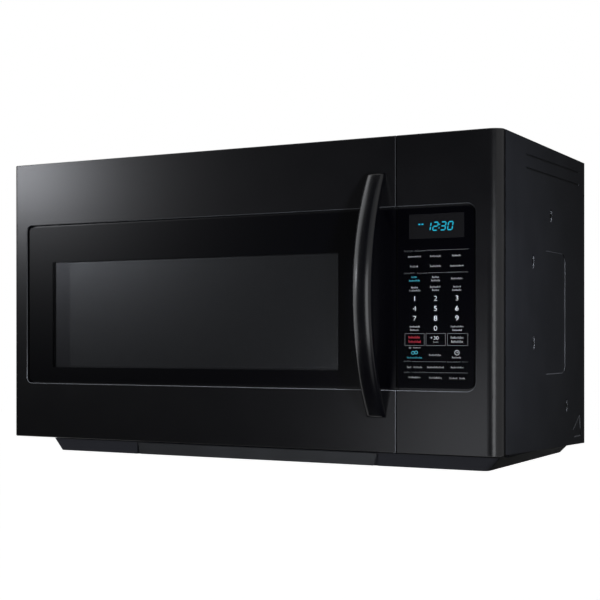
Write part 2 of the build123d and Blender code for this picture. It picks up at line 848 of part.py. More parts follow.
def turntable_motor():
    high = cavity_low - sheet
    motor = rod_z(motor_r, cavity_mid_x, cavity_mid_y, (high - motor_h, high))
    ear_x = (cavity_mid_x - motor_r - 8, cavity_mid_x + motor_r + 8)
    motor += block(ear_x, (cavity_mid_y - 5, cavity_mid_y + 5), (high - 1.2, high))
    bore = coupler_shaft_r + motor_bore_play
    return motor - rod_z(bore, cavity_mid_x, cavity_mid_y, (high - motor_h + 3, high + 1))


def turntable_coupler():
    low = cavity_low + seat_gap
    hub = rod_z(coupler_r - 3, cavity_mid_x, cavity_mid_y, (low, low + coupler_h))
    for i in range(3):
        lobe = block((0, coupler_lobe_len), around(0, coupler_lobe_w), (low + 1, low + coupler_h))
        hub += Pos(cavity_mid_x, cavity_mid_y, 0) * Rot(0, 0, 30 + i * 120) * lobe
    shaft_low = cavity_low - sheet - motor_h + 4
    return hub + rod_z(coupler_shaft_r, cavity_mid_x, cavity_mid_y, (shaft_low, low + 1))


def roller_angles():
    return [90 + i * 120 for i in range(3)]


def on_turntable(shape):
    return Pos(cavity_mid_x, cavity_mid_y, 0) * shape


def roller_ring():
    z = cavity_low + roller_r + roller_play
    level = (z - ring_t / 2, z + ring_t / 2)
    ring = rod_z(ring_rim_r[1], 0, 0, level) - rod_z(ring_rim_r[0], 0, 0, (level[0] - 1, level[1] + 1))
    hub = rod_z(ring_hub_r[1], 0, 0, level) - rod_z(ring_hub_r[0], 0, 0, (level[0] - 1, level[1] + 1))
    ring += hub
    wheel_end = roller_track_r + roller_w / 2
    for angle in roller_angles():
        arm = block((ring_hub_r[1] - 1, ring_rim_r[0] + 1), (-4, 4), level)
        arm += rod_x(roller_pin_r, (ring_rim_r[1] - 1, wheel_end + 3), 0, z)
        arm += rod_x(roller_pin_r + 1.4, (wheel_end + 0.4, wheel_end + 3), 0, z)
        ring += Rot(0, 0, angle) * arm
    return on_turntable(ring)


def roller(angle):
    z = cavity_low + roller_r + roller_play
    reach = (roller_track_r - roller_w / 2, roller_track_r + roller_w / 2)
    wheel = rod_x(roller_r, reach, 0, z)
    wheel -= rod_x(roller_pin_r + roller_play, (reach[0] - 1, reach[1] + 1), 0, z)
    return on_turntable(Rot(0, 0, angle) * wheel)


def glass_tray():
    low = cavity_low + 2 * roller_r + roller_play + tray_gap
    profile = [
        (0, low), (tray_r - 26, low), (tray_r - 8, low + 4),
        (tray_r, low + tray_rim_h), (tray_r - 5, low + tray_rim_h),
        (tray_r - 12, low + 4 + tray_t), (tray_r - 28, low + tray_t), (0, low + tray_t),
    ]
    dish = revolve(Plane.XZ * make_face(Polyline(*profile, close=True)), Axis.Z)
    for i in range(3):
        angle = math.radians(90 + i * 120)
        peg_x = tray_peg_ring * math.cos(angle)
        peg_y = tray_peg_ring * math.sin(angle)
        peg_low = cavity_low + seat_gap + coupler_h - 4
        dish += rod_z(tray_peg_r, peg_x, peg_y, (peg_low, low + 1))
    return on_turntable(dish)


def casing_x(side):
    return (side * wheel_x - blower_casing_w / 2, side * wheel_x + blower_casing_w / 2)


def blower_housing():
    low = cavity_high + sheet
    housing = None
    for side in (-1, 1):
        x = casing_x(side)
        shell = block(x, blower_casing_y, (low, top_in))
        inside = (x[0] + casing_sheet, x[1] - casing_sheet)
        scroll = rod_x(scroll_r, inside, blower_y, blower_z)
        throat_y = (blower_y - scroll_r, blower_casing_y[1] - casing_sheet)
        scroll += block(inside, throat_y, (blower_z, top + 1))
        shell -= scroll
        shell -= rod_x(inlet_r, (x[0] - 1, x[1] + 1), blower_y, blower_z)
        housing = shell if housing is None else housing + shell
    inner = wheel_x - blower_casing_w / 2 + 1
    housing += block((-inner, inner), (blower_y - 30, blower_y + 30), (low, low + 2))
    cradle = block((-26, 26), (blower_y - 26, blower_y + 26), (low, blower_z - blower_motor_r * 0.7))
    housing += cradle - rod_x(blower_motor_r + seat_gap, (-30, 30), blower_y, blower_z)
    return housing


def blower_motor():
    reach = (-blower_motor_w / 2, blower_motor_w / 2)
    motor = rod_x(blower_motor_r, reach, blower_y, blower_z)
    motor = fillet(motor.edges(), 4)
    return motor - rod_x(blower_shaft_r + motor_bore_play, (reach[0] - 1, reach[1] + 1), blower_y, blower_z)


def blower_shaft():
    reach = wheel_x + wheel_w / 2
    return rod_x(blower_shaft_r, (-reach, reach), blower_y, blower_z)


def blower_wheel(side):
    x = (side * wheel_x - wheel_w / 2, side * wheel_x + wheel_w / 2)
    web = (side * wheel_x - 1, side * wheel_x + 1)
    wheel = rod_x(wheel_r, web, 0, 0)
    wheel += rod_x(9.0, (side * wheel_x - 8, side * wheel_x + 8), 0, 0)
    for end in ((x[0], x[0] + 2), (x[1] - 2, x[1])):
        wheel += rod_x(wheel_r, end, 0, 0) - rod_x(wheel_r - 7, (end[0] - 1, end[1] + 1), 0, 0)
    vane = Pos(0, 0, wheel_r - 3.6) * Rot(25, 0, 0) * block(x, (-0.5, 0.5), (-3.2, 3.2))
    for i in range(wheel_blades):
        wheel += Rot(i * 360 / wheel_blades, 0, 0) * vane
    wheel -= rod_x(blower_shaft_r + wheel_bore_play, (x[0] - 1, x[1] + 1), 0, 0)
    return Pos(0, blower_y, blower_z) * wheel


def grease_filter(side):
    low = pan_bottom + filter_rise
    x, y = filter_bay(side, 0)
    high = low + filter_size[2]
    frame_x, frame_y = filter_bay(side, -filter_frame)
    pad = block(x, y, (low, high)) - block(frame_x, frame_y, (low - 1, high + 1))
    middle = (low + high) / 2
    sheet_z = (middle - filter_mesh_t / 2, middle + filter_mesh_t / 2)
    mesh_x = (frame_x[0] - 0.5, frame_x[1] + 0.5)
    mesh_y = (frame_y[0] - 0.5, frame_y[1] + 0.5)
    mesh = block(mesh_x, mesh_y, sheet_z)
    pitch_x = (frame_x[1] - frame_x[0]) / filter_holes[0]
    pitch_y = (frame_y[1] - frame_y[0]) / filter_holes[1]
    holes = []
    for cx in grid(side * filter_x, filter_holes[0], pitch_x):
        for cy in grid(filter_y, filter_holes[1], pitch_y):
            holes.append(block(around(cx, filter_hole), around(cy, filter_hole), (low, high)))
    return pad + (mesh - holes)


def lamp_cover(side):
    x = side * lamp_x
    half_x = lens_size[0] / 2
    y = (lamp_y - lens_size[1] / 2, lamp_y + lens_size[1] / 2 - lens_pin_in + 1.0)
    lens = block((x - half_x, x + half_x), y, (pan_bottom, pan_bottom + lens_t))
    axis_y, axis_z = lens_axis()
    for end in (-1, 1):
        ear_x = (x + end * (half_x - lens_ear_t), x + end * half_x)
        ear = block(ear_x, (axis_y - 4.0, y[1]), (pan_bottom, axis_z))
        ear += rod_x(2.4, ear_x, axis_y, axis_z)
        lens += ear
    across = (x - half_x - 1, x + half_x + 1)
    return lens - rod_x(lens_pin_r + lens_pin_play, across, axis_y, axis_z)


def latch_body():
    side_x = latch_frame_x
    frame = block(side_x, (cavity_front + sheet, latch_frame_back), latch_frame_z)
    window_x = (hook_x - hook_slot_w / 2 - 0.5, hook_x + hook_slot_w / 2 + 0.5)
    for z in hook_z:
        low, high = hook_slot_z(z)
        frame -= block(window_x, (cavity_front, latch_frame_back - 3), (low, high))
        catch_top = z - hook_h / 2 - seat_gap
        frame += block(side_x, catch_y, (low - 1, catch_top))
    for z in switch_z():
        frame -= rod_y(plunger_r + 1, hook_x, (latch_frame_back - 4, latch_frame_back + 1), z)
    between = (hook_slot_z(hook_z[0])[1] + 8, hook_slot_z(hook_z[1])[0] - 8)
    frame -= block(window_x, (cavity_front, latch_frame_back + 1), between)
    return frame


def switch_z():
    gap = switch_size[2] + 0.3
    return [hook_z[0] - gap / 2, hook_z[0] + gap / 2, hook_z[1]]


def interlock_switches():
    size_x, size_y, size_z = switch_size
    switches = []
    for z in switch_z():
        body = block(
            (hook_x - size_x / 2, hook_x + size_x / 2),
            (latch_frame_back, latch_frame_back + size_y),
            (z - size_z / 2, z + size_z / 2),
        )
        depth = plunger_in + plunger_travel + 0.5
        body -= rod_y(plunger_r + plunger_play, hook_x, (latch_frame_back - 1, latch_frame_back + depth), z)
        back = latch_frame_back + size_y
        for x in (hook_x - 8, hook_x + 8):
            body += block(around(x, 0.8), (back - 1, back + 7), around(z, 5.0))
        switches.append(body)
    return Compound(children=switches)


def switch_plunger(z):
    return rod_y(plunger_r, hook_x, (hook_tip_y + seat_gap, latch_frame_back + plunger_in), z)


def rounded_column(x, y, z, corner):
    # A block whose front right upright edge is a quarter of an ellipse.
    middle = (x[1] - corner[0], y[0] + corner[1])
    outline = Polyline((x[1], middle[1]), (x[1], y[1]), (x[0], y[1]), (x[0], y[0]), (middle[0], y[0]))
    outline += EllipticalCenterArc(middle, corner[0], corner[1], 270)
    return extrude(Plane.XY.offset(z[0]) * make_face(outline), z[1] - z[0])


def control_frame():
    outer = rounded_column((panel_left, half), (front, case_front), (0, top), panel_corner)
    rim = outer.edges().filter_by(Axis.X).filter_by(lambda e: e.center().Y < front + 0.1)
    outer = chamfer(rim, seam_chamfer)
    corner_in = (panel_corner[0] - wall, panel_corner[1] - wall)
    hollow_y = (front + wall, case_front + 1)
    frame = outer - rounded_column((panel_left + wall, half - wall), hollow_y, (wall, top - wall), corner_in)
    back_wall_y = (case_front - 0.1, cavity_front + sheet)
    frame += block((panel_left, panel_left + wall), back_wall_y, (deck, top_in))
    pocket_x = (panel_left, band_right + wall)
    frame += block(pocket_x, (front + 1.0, floor_back), (band_low - wall, band_high + wall))
    cut_x = (panel_left - 60, band_right)
    cut = plate_y(cut_x, (band_low, band_high), (front - 1, glass_back), band_corner_right)
    frame -= cut & block((panel_left - 1, band_right + 1), (front - 2, glass_back + 1), (0, top))
    frame = chamfer(recess_rim(frame, (panel_left, band_right + 1)), seam_chamfer)
    frame -= block(display_x(1.0), (glass_back - 1, floor_back + 1), display_z(1.0))
    for x in (panel_left + 8, half - 20):
        for z in (band_low - 15.4, band_high + 4.1):
            frame += rod_y(3.0, x, (front + wall - 0.5, board_front()), z)
    frame -= block((half - 3.2, half + 1), (case_front - 3.0, case_front + 1), (-1, 3.0))
    return frame


def recess_rim(frame, x):
    # The edges where the glass recess meets the painted front face.
    z = (band_low - 1, band_high + 1)
    found = []
    for edge in frame.edges():
        middle = edge.center()
        if abs(middle.Y - front) < 0.01 and x[0] < middle.X < x[1] and z[0] < middle.Z < z[1]:
            found.append(edge)
    return found


def display_x(play):
    return panel_left + display_in[0] - play, band_right - display_in[1] + play


def display_z(play):
    return band_high - display_under - display_h - play, band_high - display_under + play


def board_front():
    return front + 17.0


def control_glass():
    x = (panel_left + glass_end_gap, band_right - glass_gap)
    z = (band_low + glass_gap, band_high - glass_gap)
    whole = plate_y((x[0] - 60, x[1]), z, (glass_front, glass_back), band_corner_right - glass_gap)
    return whole & block((x[0], x[1] + 1), (front, front + 20), (0, top))


def display_module():
    return block(display_x(0), (glass_back + seat_gap, board_front()), display_z(0))


def control_board():
    y = (board_front(), board_front() + board_t)
    low = band_low - 21.4
    board = block((panel_left + wall + 2, half - 8), y, (low, band_high + 10.1))
    back = y[1]
    left = panel_left
    board += block((left + 21, left + 51), (back, back + 16), (low + 122, low + 156))
    board += block((left + 59, left + 99), (back, back + 22), (low + 42, low + 82))
    for x in (left + 71, left + 91, left + 111):
        board += block((x - 8, x + 8), (back, back + 15), (low + 182, low + 204))
    for z in (low + 32, low + 92):
        board += rod_y(6.0, left + 115, (back, back + 18), z)
    return board


def hinge(high):
    # An arm with a pin, on a leg against the front plate. high is True for the upper one.
    edge = top - hinge_arm_edge if high else hinge_arm_edge
    away = -1 if high else 1
    arm_z = (edge, edge + away * hinge_arm_t)
    arm_x = (pivot_x - hinge_arm_lip, pivot_x - hinge_arm_lip + hinge_arm_w)
    arm = block(arm_x, (pivot_y, cavity_front), arm_z)
    arm += rod_z(hinge_arm_lip, pivot_x, pivot_y, arm_z)
    leg = (edge, edge + away * hinge_leg_h)
    arm += block(arm_x, (cavity_front - hinge_arm_t, cavity_front), leg)
    return arm + rod_z(hinge_pin_r, pivot_x, pivot_y, (edge, edge + away * hinge_pin_h))


def hinge_clearance(high):
    # The room in the door's corner in which the arm turns.
    edge = top - hinge_arm_edge if high else hinge_arm_edge
    away = -1 if high else 1
    inner = edge + away * (hinge_arm_t + seat_gap)
    outside = top + 1 if high else -1
    reach = pivot_x + hinge_arm_w + 2
    return block((-half - 1, reach), (front + hinge_front_skin, door_back + 1), (inner, outside))


def hinge_boss(high):
    edge = top - hinge_arm_edge if high else hinge_arm_edge
    away = -1 if high else 1
    start = edge + away * (hinge_arm_t + seat_gap)
    return rod_z(hinge_boss_r, pivot_x, pivot_y, (start, start + away * hinge_boss_h))


def hinge_bore(high):
    edge = top - hinge_arm_edge if high else hinge_arm_edge
    away = -1 if high else 1
    return rod_z(hinge_pin_r + hinge_pin_play, pivot_x, pivot_y, (edge, edge + away * (hinge_pin_h + 1)))


def door_frame():
    outer = block((-half, door_right), (front, door_back), (0, top))
    corner = outer.edges().filter_by(Axis.Z).sort_by(lambda e: e.center().Y + e.center().X)[0]
    outer = fillet(corner, door_edge_r)
    rim = outer.edges().filter_by(Axis.X).filter_by(lambda e: e.center().Y < front + 0.1)
    outer = chamfer(rim, seam_chamfer)
    seam = outer.edges().filter_by(Axis.Z).sort_by(lambda e: e.center().Y - e.center().X)[0]
    outer = chamfer(seam, seam_chamfer)
    hollow_x = (-half + wall, door_right - wall)
    frame = outer - block(hollow_x, (front + wall, door_back + 1), (wall, top - wall))
    pocket_x = (band_left - wall, door_right)
    frame += block(pocket_x, (front + 1.0, floor_back), (band_low - wall, band_high + wall))
    cut_x = (band_left, door_right + 60)
    cut = plate_y(cut_x, (band_low, band_high), (front - 1, glass_back), band_corner_left)
    frame -= cut & block((band_left - 1, door_right + 1), (front - 2, glass_back + 1), (0, top))
    frame = chamfer(recess_rim(frame, (band_left - 1, door_right - 2 * seam_chamfer)), seam_chamfer)
    opening_x = (window_x[0] - window_ledge, window_x[1] + window_ledge)
    opening_z = (window_z[0] - window_ledge, window_z[1] + window_ledge)
    frame -= block(opening_x, (glass_back - 1, floor_back + 1), opening_z)
    for high in (False, True):
        frame += hinge_boss(high)
        frame -= hinge_clearance(high)
        frame -= hinge_bore(high)
    for z in handle_screw_z():
        frame -= rod_y(screw_r + screw_hole_play, handle_x, (front - 1, front + wall + 1), z)
    return frame


def handle_screw_z():
    return handle_z[0] + handle_screw_in, handle_z[1] - handle_screw_in


def door_glass():
    x = (band_left + glass_gap, door_right - glass_end_gap)
    z = (band_low + glass_gap, band_high - glass_gap)
    whole = plate_y((x[0], x[1] + 60), z, (glass_front, glass_back), band_corner_left - glass_gap)
    return whole & block((x[0] - 1, x[1]), (front, front + 20), (0, top))


def door_choke_plate():
    lie = seat_gap
    x = (-half + wall + lie, door_right - wall - lie)
    plate = block(x, (door_back - choke_wall, door_back), (wall + lie, top - wall - lie))
    ring_x = (cover_x[0] + choke_inset, cover_x[1] - choke_right_gap)
    ring_z = (cover_z[0] + choke_inset, cover_z[1] - choke_inset)
    for inset in (0.0, choke_channel):
        wall_x = (ring_x[0] + inset, ring_x[1] - inset)
        wall_z = (ring_z[0] + inset, ring_z[1] - inset)
        ring = plate_y(wall_x, wall_z, (door_back - 0.5, door_back + choke_depth), 8.0)
        in_x = (wall_x[0] + choke_wall, wall_x[1] - choke_wall)
        in_z = (wall_z[0] + choke_wall, wall_z[1] - choke_wall)
        plate += ring - plate_y(in_x, in_z, (door_back - 0.5, door_back + choke_depth + 1), 7.0)
    pitch_x = (window_x[1] - window_x[0]) / mesh_cols
    pitch_z = (window_z[1] - window_z[0]) / mesh_rows
    holes = []
    for hole_x in grid(sum(window_x) / 2, mesh_cols, pitch_x):
        for z in grid(sum(window_z) / 2, mesh_rows, pitch_z):
            holes.append(rod_y(mesh_hole_r, hole_x, (door_back - 3, door_back + 1), z))
    plate -= holes
    for high in (False, True):
        corner_z = (top - wall - hinge_boss_h - 6, top) if high else (0, wall + hinge_boss_h + 6)
        plate -= block((-half, pivot_x + hinge_arm_w + 2), (door_back - 3, door_back + 1), corner_z)
    return plate


def door_inner_pane():
    x = (window_x[0] - window_ledge - pane_border, window_x[1] + window_ledge + pane_border)
    z = (window_z[0] - window_ledge - pane_border, window_z[1] + window_ledge + pane_border)
    return plate_y(x, z, (door_back + 0.2, door_back + 0.2 + pane_thick), 3.0)


def door_choke_cover():
    cover = plate_y(cover_x, cover_z, (door_back, cover_back), 10.0)
    hollow_x = (cover_x[0] + cover_wall, cover_x[1] - cover_wall)
    hollow_z = (cover_z[0] + cover_wall, cover_z[1] - cover_wall)
    hollow = plate_y(hollow_x, hollow_z, (door_back - 1, cover_back - cover_wall), 8.0)
    opening_x = (window_x[0] - collar_inset, window_x[1] + collar_inset)
    opening_z = (window_z[0] - collar_inset, window_z[1] + collar_inset)
    collar_x = (opening_x[0] - cover_wall, opening_x[1] + cover_wall)
    collar_z = (opening_z[0] - cover_wall, opening_z[1] + cover_wall)
    pane_back = door_back + 0.2 + pane_thick + 0.1
    hollow -= plate_y(collar_x, collar_z, (pane_back, cover_back), 5.0)
    cover -= hollow
    cover -= plate_y(opening_x, opening_z, (door_back - 2, cover_back + 1), 4.0)
    for z in hook_z:
        low = z - hook_h / 2 - hook_nose - 0.6
        high = z + hook_h / 2 + latch_travel + 0.6
        slot_x = (hook_x - hook_t / 2 - 2.0, hook_x + hook_t / 2 + 2.0)
        cover -= block(slot_x, (cover_back - cover_wall - 1, cover_back + 1), (low, high))
    guide_y = (lever_y[0], cover_back - 1)
    for z in ((hook_z[0] + 25, hook_z[0] + 40), (hook_z[1] - 41, hook_z[1] - 26)):
        for side in (-1, 1):
            near = hook_x + side * (hook_t / 2 + seat_gap)
            cover += block((near, near + side * 3), guide_y, z)
    anchor_z = lever_z[0] - spring_len - 0.6
    cover += block((hook_x - 4, hook_x + 4), guide_y, (anchor_z - 3, anchor_z))
    return cover


def door_latch():
    x = (hook_x - hook_t / 2, hook_x + hook_t / 2)
    lever = block(x, lever_y, lever_z)
    for z in hook_z:
        low = z - hook_h / 2
        high = z + hook_h / 2
        points = [(lever_y[1] - 1, low), (lever_y[1] - 1, high), (hook_tip_y, high), (hook_tip_y, low + 1)]
        nose_front = hook_tip_y - hook_nose_len
        points += [(hook_tip_y - 4, low - hook_nose), (nose_front, low - hook_nose), (nose_front, low)]
        lever += prism_x(points, x)
    return lever


def latch_spring():
    low = lever_z[0] - spring_len - seat_gap
    length = spring_len
    path = Pos(hook_x, sum(lever_y) / 2, low + spring_wire_r) * Helix(
        (length - 2 * spring_wire_r) / spring_turns, length - 2 * spring_wire_r, spring_r
    )
    start = Plane(origin=path @ 0, z_dir=path % 0)
    return sweep(start * Circle(spring_wire_r), path=path, is_frenet=True)


def handle_arc():
    # Radius and centre of the bow, from its chord between the feet and its rise.
    chord = (handle_z[1] - handle_z[0]) / 2
    radius = (chord**2 + handle_bow**2) / (2 * handle_bow)
    centre_y = front + handle_foot_sink - handle_bow + radius
    return radius, centre_y, sum(handle_z) / 2


def door_handle():
    radius, centre_y, centre_z = handle_arc()
    section = Pos(handle_x, centre_y - radius) * RectangleRounded(handle_w, handle_t, handle_corner_r)
    ring = revolve(Plane.XY.offset(centre_z) * section, Axis((0, centre_y, centre_z), (1, 0, 0)), 360)
    keep = block((handle_x - handle_w, handle_x + handle_w), (front - 100, front), handle_z)
    bow = ring & keep
    for z in handle_screw_z():
        bow -= rod_y(screw_r + 0.05, handle_x, (front - 7.5, front + 1), z)
    return bow


def handle_screws():
    screws = []
    for z in handle_screw_z():
        head = rod_y(3.6, handle_x, (front + wall, front + wall + 2.2), z)
        screws.append(head + rod_y(screw_r, handle_x, (front - 7.0, front + wall + 1), z))
    return Compound(children=screws)


def write(name, shape):
    export_step(shape, f"parts/{name}.step")
    print(name, round(shape.volume))


def main():
    os.makedirs("parts", exist_ok=True)
    write("outer_case", outer_case())
    write("rear_plate", rear_plate())
    write("base_pan", base_pan())
    write("base_front_strip", base_front_strip())
    write("vent_grille", vent_grille())
    write("charcoal_filter", charcoal_filter())
    write("cable_grommet", cable_grommet())
    write("case_screws", case_screws())
    write("oven_cavity", oven_cavity())
    write("waveguide_cover", waveguide_cover())
    write("waveguide", waveguide())
    write("magnetron", magnetron())
    write("transformer_core", transformer_core())
    write("transformer_windings", transformer_windings())
    write("capacitor", capacitor())
    write("noise_filter_board", noise_filter_board())
    write("thermal_cutouts", thermal_cutouts())
    write("fan_shroud", fan_shroud())
    write("cooling_fan_motor", cooling_fan_motor())
    write("cooling_fan_blade", cooling_fan_blade())
    write("lamp_sockets", lamp_sockets())
    write("lamp_bulbs", lamp_bulbs())
    write("turntable_motor", turntable_motor())
    write("turntable_coupler", turntable_coupler())
    write("roller_ring", roller_ring())
    for number, angle in enumerate(roller_angles(), 1):
        write(f"roller_{number}", roller(angle))
    write("glass_tray", glass_tray())
    write("blower_housing", blower_housing())
    write("blower_motor", blower_motor())
    write("blower_shaft", blower_shaft())
    for side, name in ((-1, "left"), (1, "right")):
        write(f"blower_wheel_{name}", blower_wheel(side))
        write(f"grease_filter_{name}", grease_filter(side))
        write(f"lamp_cover_{name}", lamp_cover(side))
    write("latch_body", latch_body())
    write("interlock_switches", interlock_switches())
    for z, name in zip(switch_z(), ("lower", "middle", "upper")):
        write(f"switch_plunger_{name}", switch_plunger(z))
    write("control_frame", control_frame())
    write("control_glass", control_glass())
    write("display_module", display_module())
    write("control_board", control_board())
    write("hinge_upper", hinge(True))
    write("hinge_lower", hinge(False))
    write("door_frame", door_frame())
    write("door_glass", door_glass())
    write("door_choke_plate", door_choke_plate())
    write("door_inner_pane", door_inner_pane())
    write("door_choke_cover", door_choke_cover())
    write("door_latch", door_latch())
    write("latch_spring", latch_spring())
    write("door_handle", door_handle())
    write("handle_screws", handle_screws())


main()
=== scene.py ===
import math

import bmesh
import bpy
import numpy as np
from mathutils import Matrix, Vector


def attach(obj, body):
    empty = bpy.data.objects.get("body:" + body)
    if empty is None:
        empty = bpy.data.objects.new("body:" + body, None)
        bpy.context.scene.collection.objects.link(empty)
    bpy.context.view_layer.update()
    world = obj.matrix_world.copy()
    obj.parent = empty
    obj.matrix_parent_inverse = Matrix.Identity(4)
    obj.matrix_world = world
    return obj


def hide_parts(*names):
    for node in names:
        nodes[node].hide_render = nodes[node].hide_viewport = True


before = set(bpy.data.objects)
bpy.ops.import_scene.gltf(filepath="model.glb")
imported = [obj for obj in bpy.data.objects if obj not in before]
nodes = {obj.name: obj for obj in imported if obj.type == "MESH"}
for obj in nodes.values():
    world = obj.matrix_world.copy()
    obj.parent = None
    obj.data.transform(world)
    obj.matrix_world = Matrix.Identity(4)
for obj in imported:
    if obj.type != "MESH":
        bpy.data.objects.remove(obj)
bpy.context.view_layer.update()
mm = 0.001
wavePeriod = 2 * math.pi / 20  # metres between two bands of a wave texture of scale 1
print("frame loaded,", len(nodes), "nodes")

# The camera stands level at the photograph's angle; the shift lifts the frame a little.
cameraSpec = {"place": (0.9027, -1.8722, 0.1447), "azimuth": 28.01, "lens": 77.63, "sensor": 36.0,
              "shiftY": 0.0645, "reach": 60.0}


def makeCamera(spec):
    data = bpy.data.cameras.new("photoCamera")
    data.lens = spec["lens"]
    data.sensor_width = spec["sensor"]
    data.shift_y = spec["shiftY"]
    data.clip_end = spec["reach"]
    camera = bpy.data.objects.new("photoCamera", data)
    camera.location = spec["place"]
    camera.rotation_euler = (math.pi / 2, 0.0, math.radians(spec["azimuth"]))
    bpy.context.scene.collection.objects.link(camera)
    bpy.context.scene.camera = camera


makeCamera(cameraSpec)
bpy.context.scene.view_settings.view_transform = "Standard"
print("camera made")


def linear(hexText):
    # sRGB hex to linear red, green, blue and full alpha.
    parts = [int(hexText[i:i + 2], 16) / 255 for i in (1, 3, 5)]
    curve = [c / 12.92 if c <= 0.04045 else ((c + 0.055) / 1.055) ** 2.4 for c in parts]
    return (*curve, 1.0)


def addNode(tree, kind, settings=None, links=None):
    # One shader node: settings fill properties or unlinked sockets, links feed sockets.
    made = tree.nodes.new(kind)
    for name, value in (settings or {}).items():
        if isinstance(name, int) or name in made.inputs:
            made.inputs[name].default_value = value
        else:
            setattr(made, name, value)
    for name, source in (links or {}).items():
        tree.links.new(source, made.inputs[name])
    return made


def newMaterial(name):
    # An empty material, its tree, and its piece's own coordinates.
    material = bpy.data.materials.new(name)
    material.use_nodes = True
    tree = material.node_tree
    tree.nodes.clear()
    return material, tree, addNode(tree, "ShaderNodeTexCoord").outputs


def closeMaterial(tree, settings, links):
    # The finish's shader, set and fed as given, goes to the output.
    shader = addNode(tree, "ShaderNodeBsdfPrincipled", settings, links).outputs["BSDF"]
    addNode(tree, "ShaderNodeOutputMaterial", {}, {"Surface": shader})


def twoTones(tree, pattern, low, high, ends=(0.0, 1.0)):
    # From one hex colour to another while the pattern runs from the first end to the second.
    share = addNode(tree, "ShaderNodeMapRange", {"From Min": ends[0], "From Max": ends[1]}, {"Value": pattern})
    tones = {"data_type": "RGBA", 6: linear(low), 7: linear(high)}
    return addNode(tree, "ShaderNodeMix", tones, {0: share.outputs["Result"]}).outputs[2]


def boxMask(tree, place, x, z, softMm=0.4):
    # 1 inside a rectangle of the front face (x and z in mm), 0 outside, with a thin soft edge.
    axes = addNode(tree, "ShaderNodeSeparateXYZ", {}, {"Vector": place})
    inside = None
    for axis, (low, high) in (("X", x), ("Z", z)):
        middle = (low + high) / 2 * mm
        half = (high - low) / 2 * mm
        offset = addNode(tree, "ShaderNodeMath", {"operation": "SUBTRACT", 1: middle}, {0: axes.outputs[axis]})
        size = addNode(tree, "ShaderNodeMath", {"operation": "ABSOLUTE"}, {0: offset.outputs[0]})
        ends = {"From Min": half + softMm * mm, "From Max": half}
        step = addNode(tree, "ShaderNodeMapRange", ends, {"Value": size.outputs[0]}).outputs["Result"]
        if inside is None:
            inside = step
        else:
            inside = addNode(tree, "ShaderNodeMath", {"operation": "MULTIPLY"}, {0: inside, 1: step}).outputs[0]
    return inside


def creaseMask(tree, place, start, end, half):
    # 1 on a straight stripe of a side face from start to end, (y, z) in mm, 0 beside it: a
    # point counts if it lies within the stripe's length along it and within half across it.
    reach = (end[0] - start[0], end[1] - start[1])
    size = math.hypot(*reach)
    along = (reach[0] / size, reach[1] / size)
    across = (-along[1], along[0])
    inside = None
    for axis, middle, limit in ((along, size / 2, size / 2), (across, 0.0, half)):
        middle += start[0] * axis[0] + start[1] * axis[1]
        settings = {"operation": "DOT_PRODUCT", 1: (0, axis[0] / mm, axis[1] / mm)}
        step = addNode(tree, "ShaderNodeVectorMath", settings, {0: place}).outputs["Value"]
        settings = {"operation": "COMPARE", 1: middle, 2: limit}
        step = addNode(tree, "ShaderNodeMath", settings, {0: step}).outputs[0]
        if inside is None:
            inside = step
        else:
            inside = addNode(tree, "ShaderNodeMath", {"operation": "MULTIPLY"}, {0: inside, 1: step}).outputs[0]
    return inside


def paintedSeamShade(tree, coords, tone, seamY):
    # Painted shade: in front of this depth (mm) the sheet is painted near black, as the shadow in
    # the joint below the sheet's face.
    depth = addNode(tree, "ShaderNodeSeparateXYZ", {}, {"Vector": coords["Object"]}).outputs["Y"]
    ends = {"From Min": (seamY - 0.2) * mm, "From Max": seamY * mm}
    lit = addNode(tree, "ShaderNodeMapRange", ends, {"Value": depth}).outputs["Result"]
    return addNode(tree, "ShaderNodeMix", {"data_type": "RGBA", 6: linear("#020202")},
                   {0: lit, 7: tone}).outputs[2]


def paintedFrontLight(tree, coords, tone, light):
    # Painted light: faces turned to the front are painted lighter than the sides and the underside,
    # as light falls on them from the front.
    facing = addNode(tree, "ShaderNodeSeparateXYZ", {}, {"Vector": coords["Normal"]}).outputs["Y"]
    facing = addNode(tree, "ShaderNodeMapRange", {"From Min": 0.0, "From Max": -0.8}, {"Value": facing})
    return addNode(tree, "ShaderNodeMix", {"data_type": "RGBA", 7: linear(light)},
                   {0: facing.outputs["Result"], 6: tone}).outputs[2]


# Painted light and shade on the side's pressed shapes. y is the stretch of the side that holds
# them and sideX where the side begins, in mm. Each crease is a stripe of painted highlight or
# painted shade: its ends (y, z), half its width, tone and strength.
pressingLightSpec = {
    "y": (-330.0, -20.0), "sideX": 377.0, "dark": "#020203", "light": "#55575b",
    "creases": (
        # Light stripes are painted highlights on the bends, dark stripes painted shade in the pressed lines.
        ((-186, 97.0), (-111, 97.0), 0.6, "#55575b", 0.5),  # foot of the pressed panel
        ((-186, 262.4), (-111, 262.4), 0.45, "#55575b", 0.3),  # its head
        ((-270.5, 381.4), (-28.4, 384.7), 1.1, "#040506", 0.85),  # upper pressed line
        ((-270.5, 364.3), (-28.4, 367.0), 1.1, "#040506", 0.9),  # lower pressed line
        ((-58, 14.0), (-25, 33.4), 1.5, "#55575b", 0.55),  # slope of the gusset
        ((-52, 4.4), (-20, 4.4), 0.9, "#55575b", 0.5),  # its foot
    ),
}


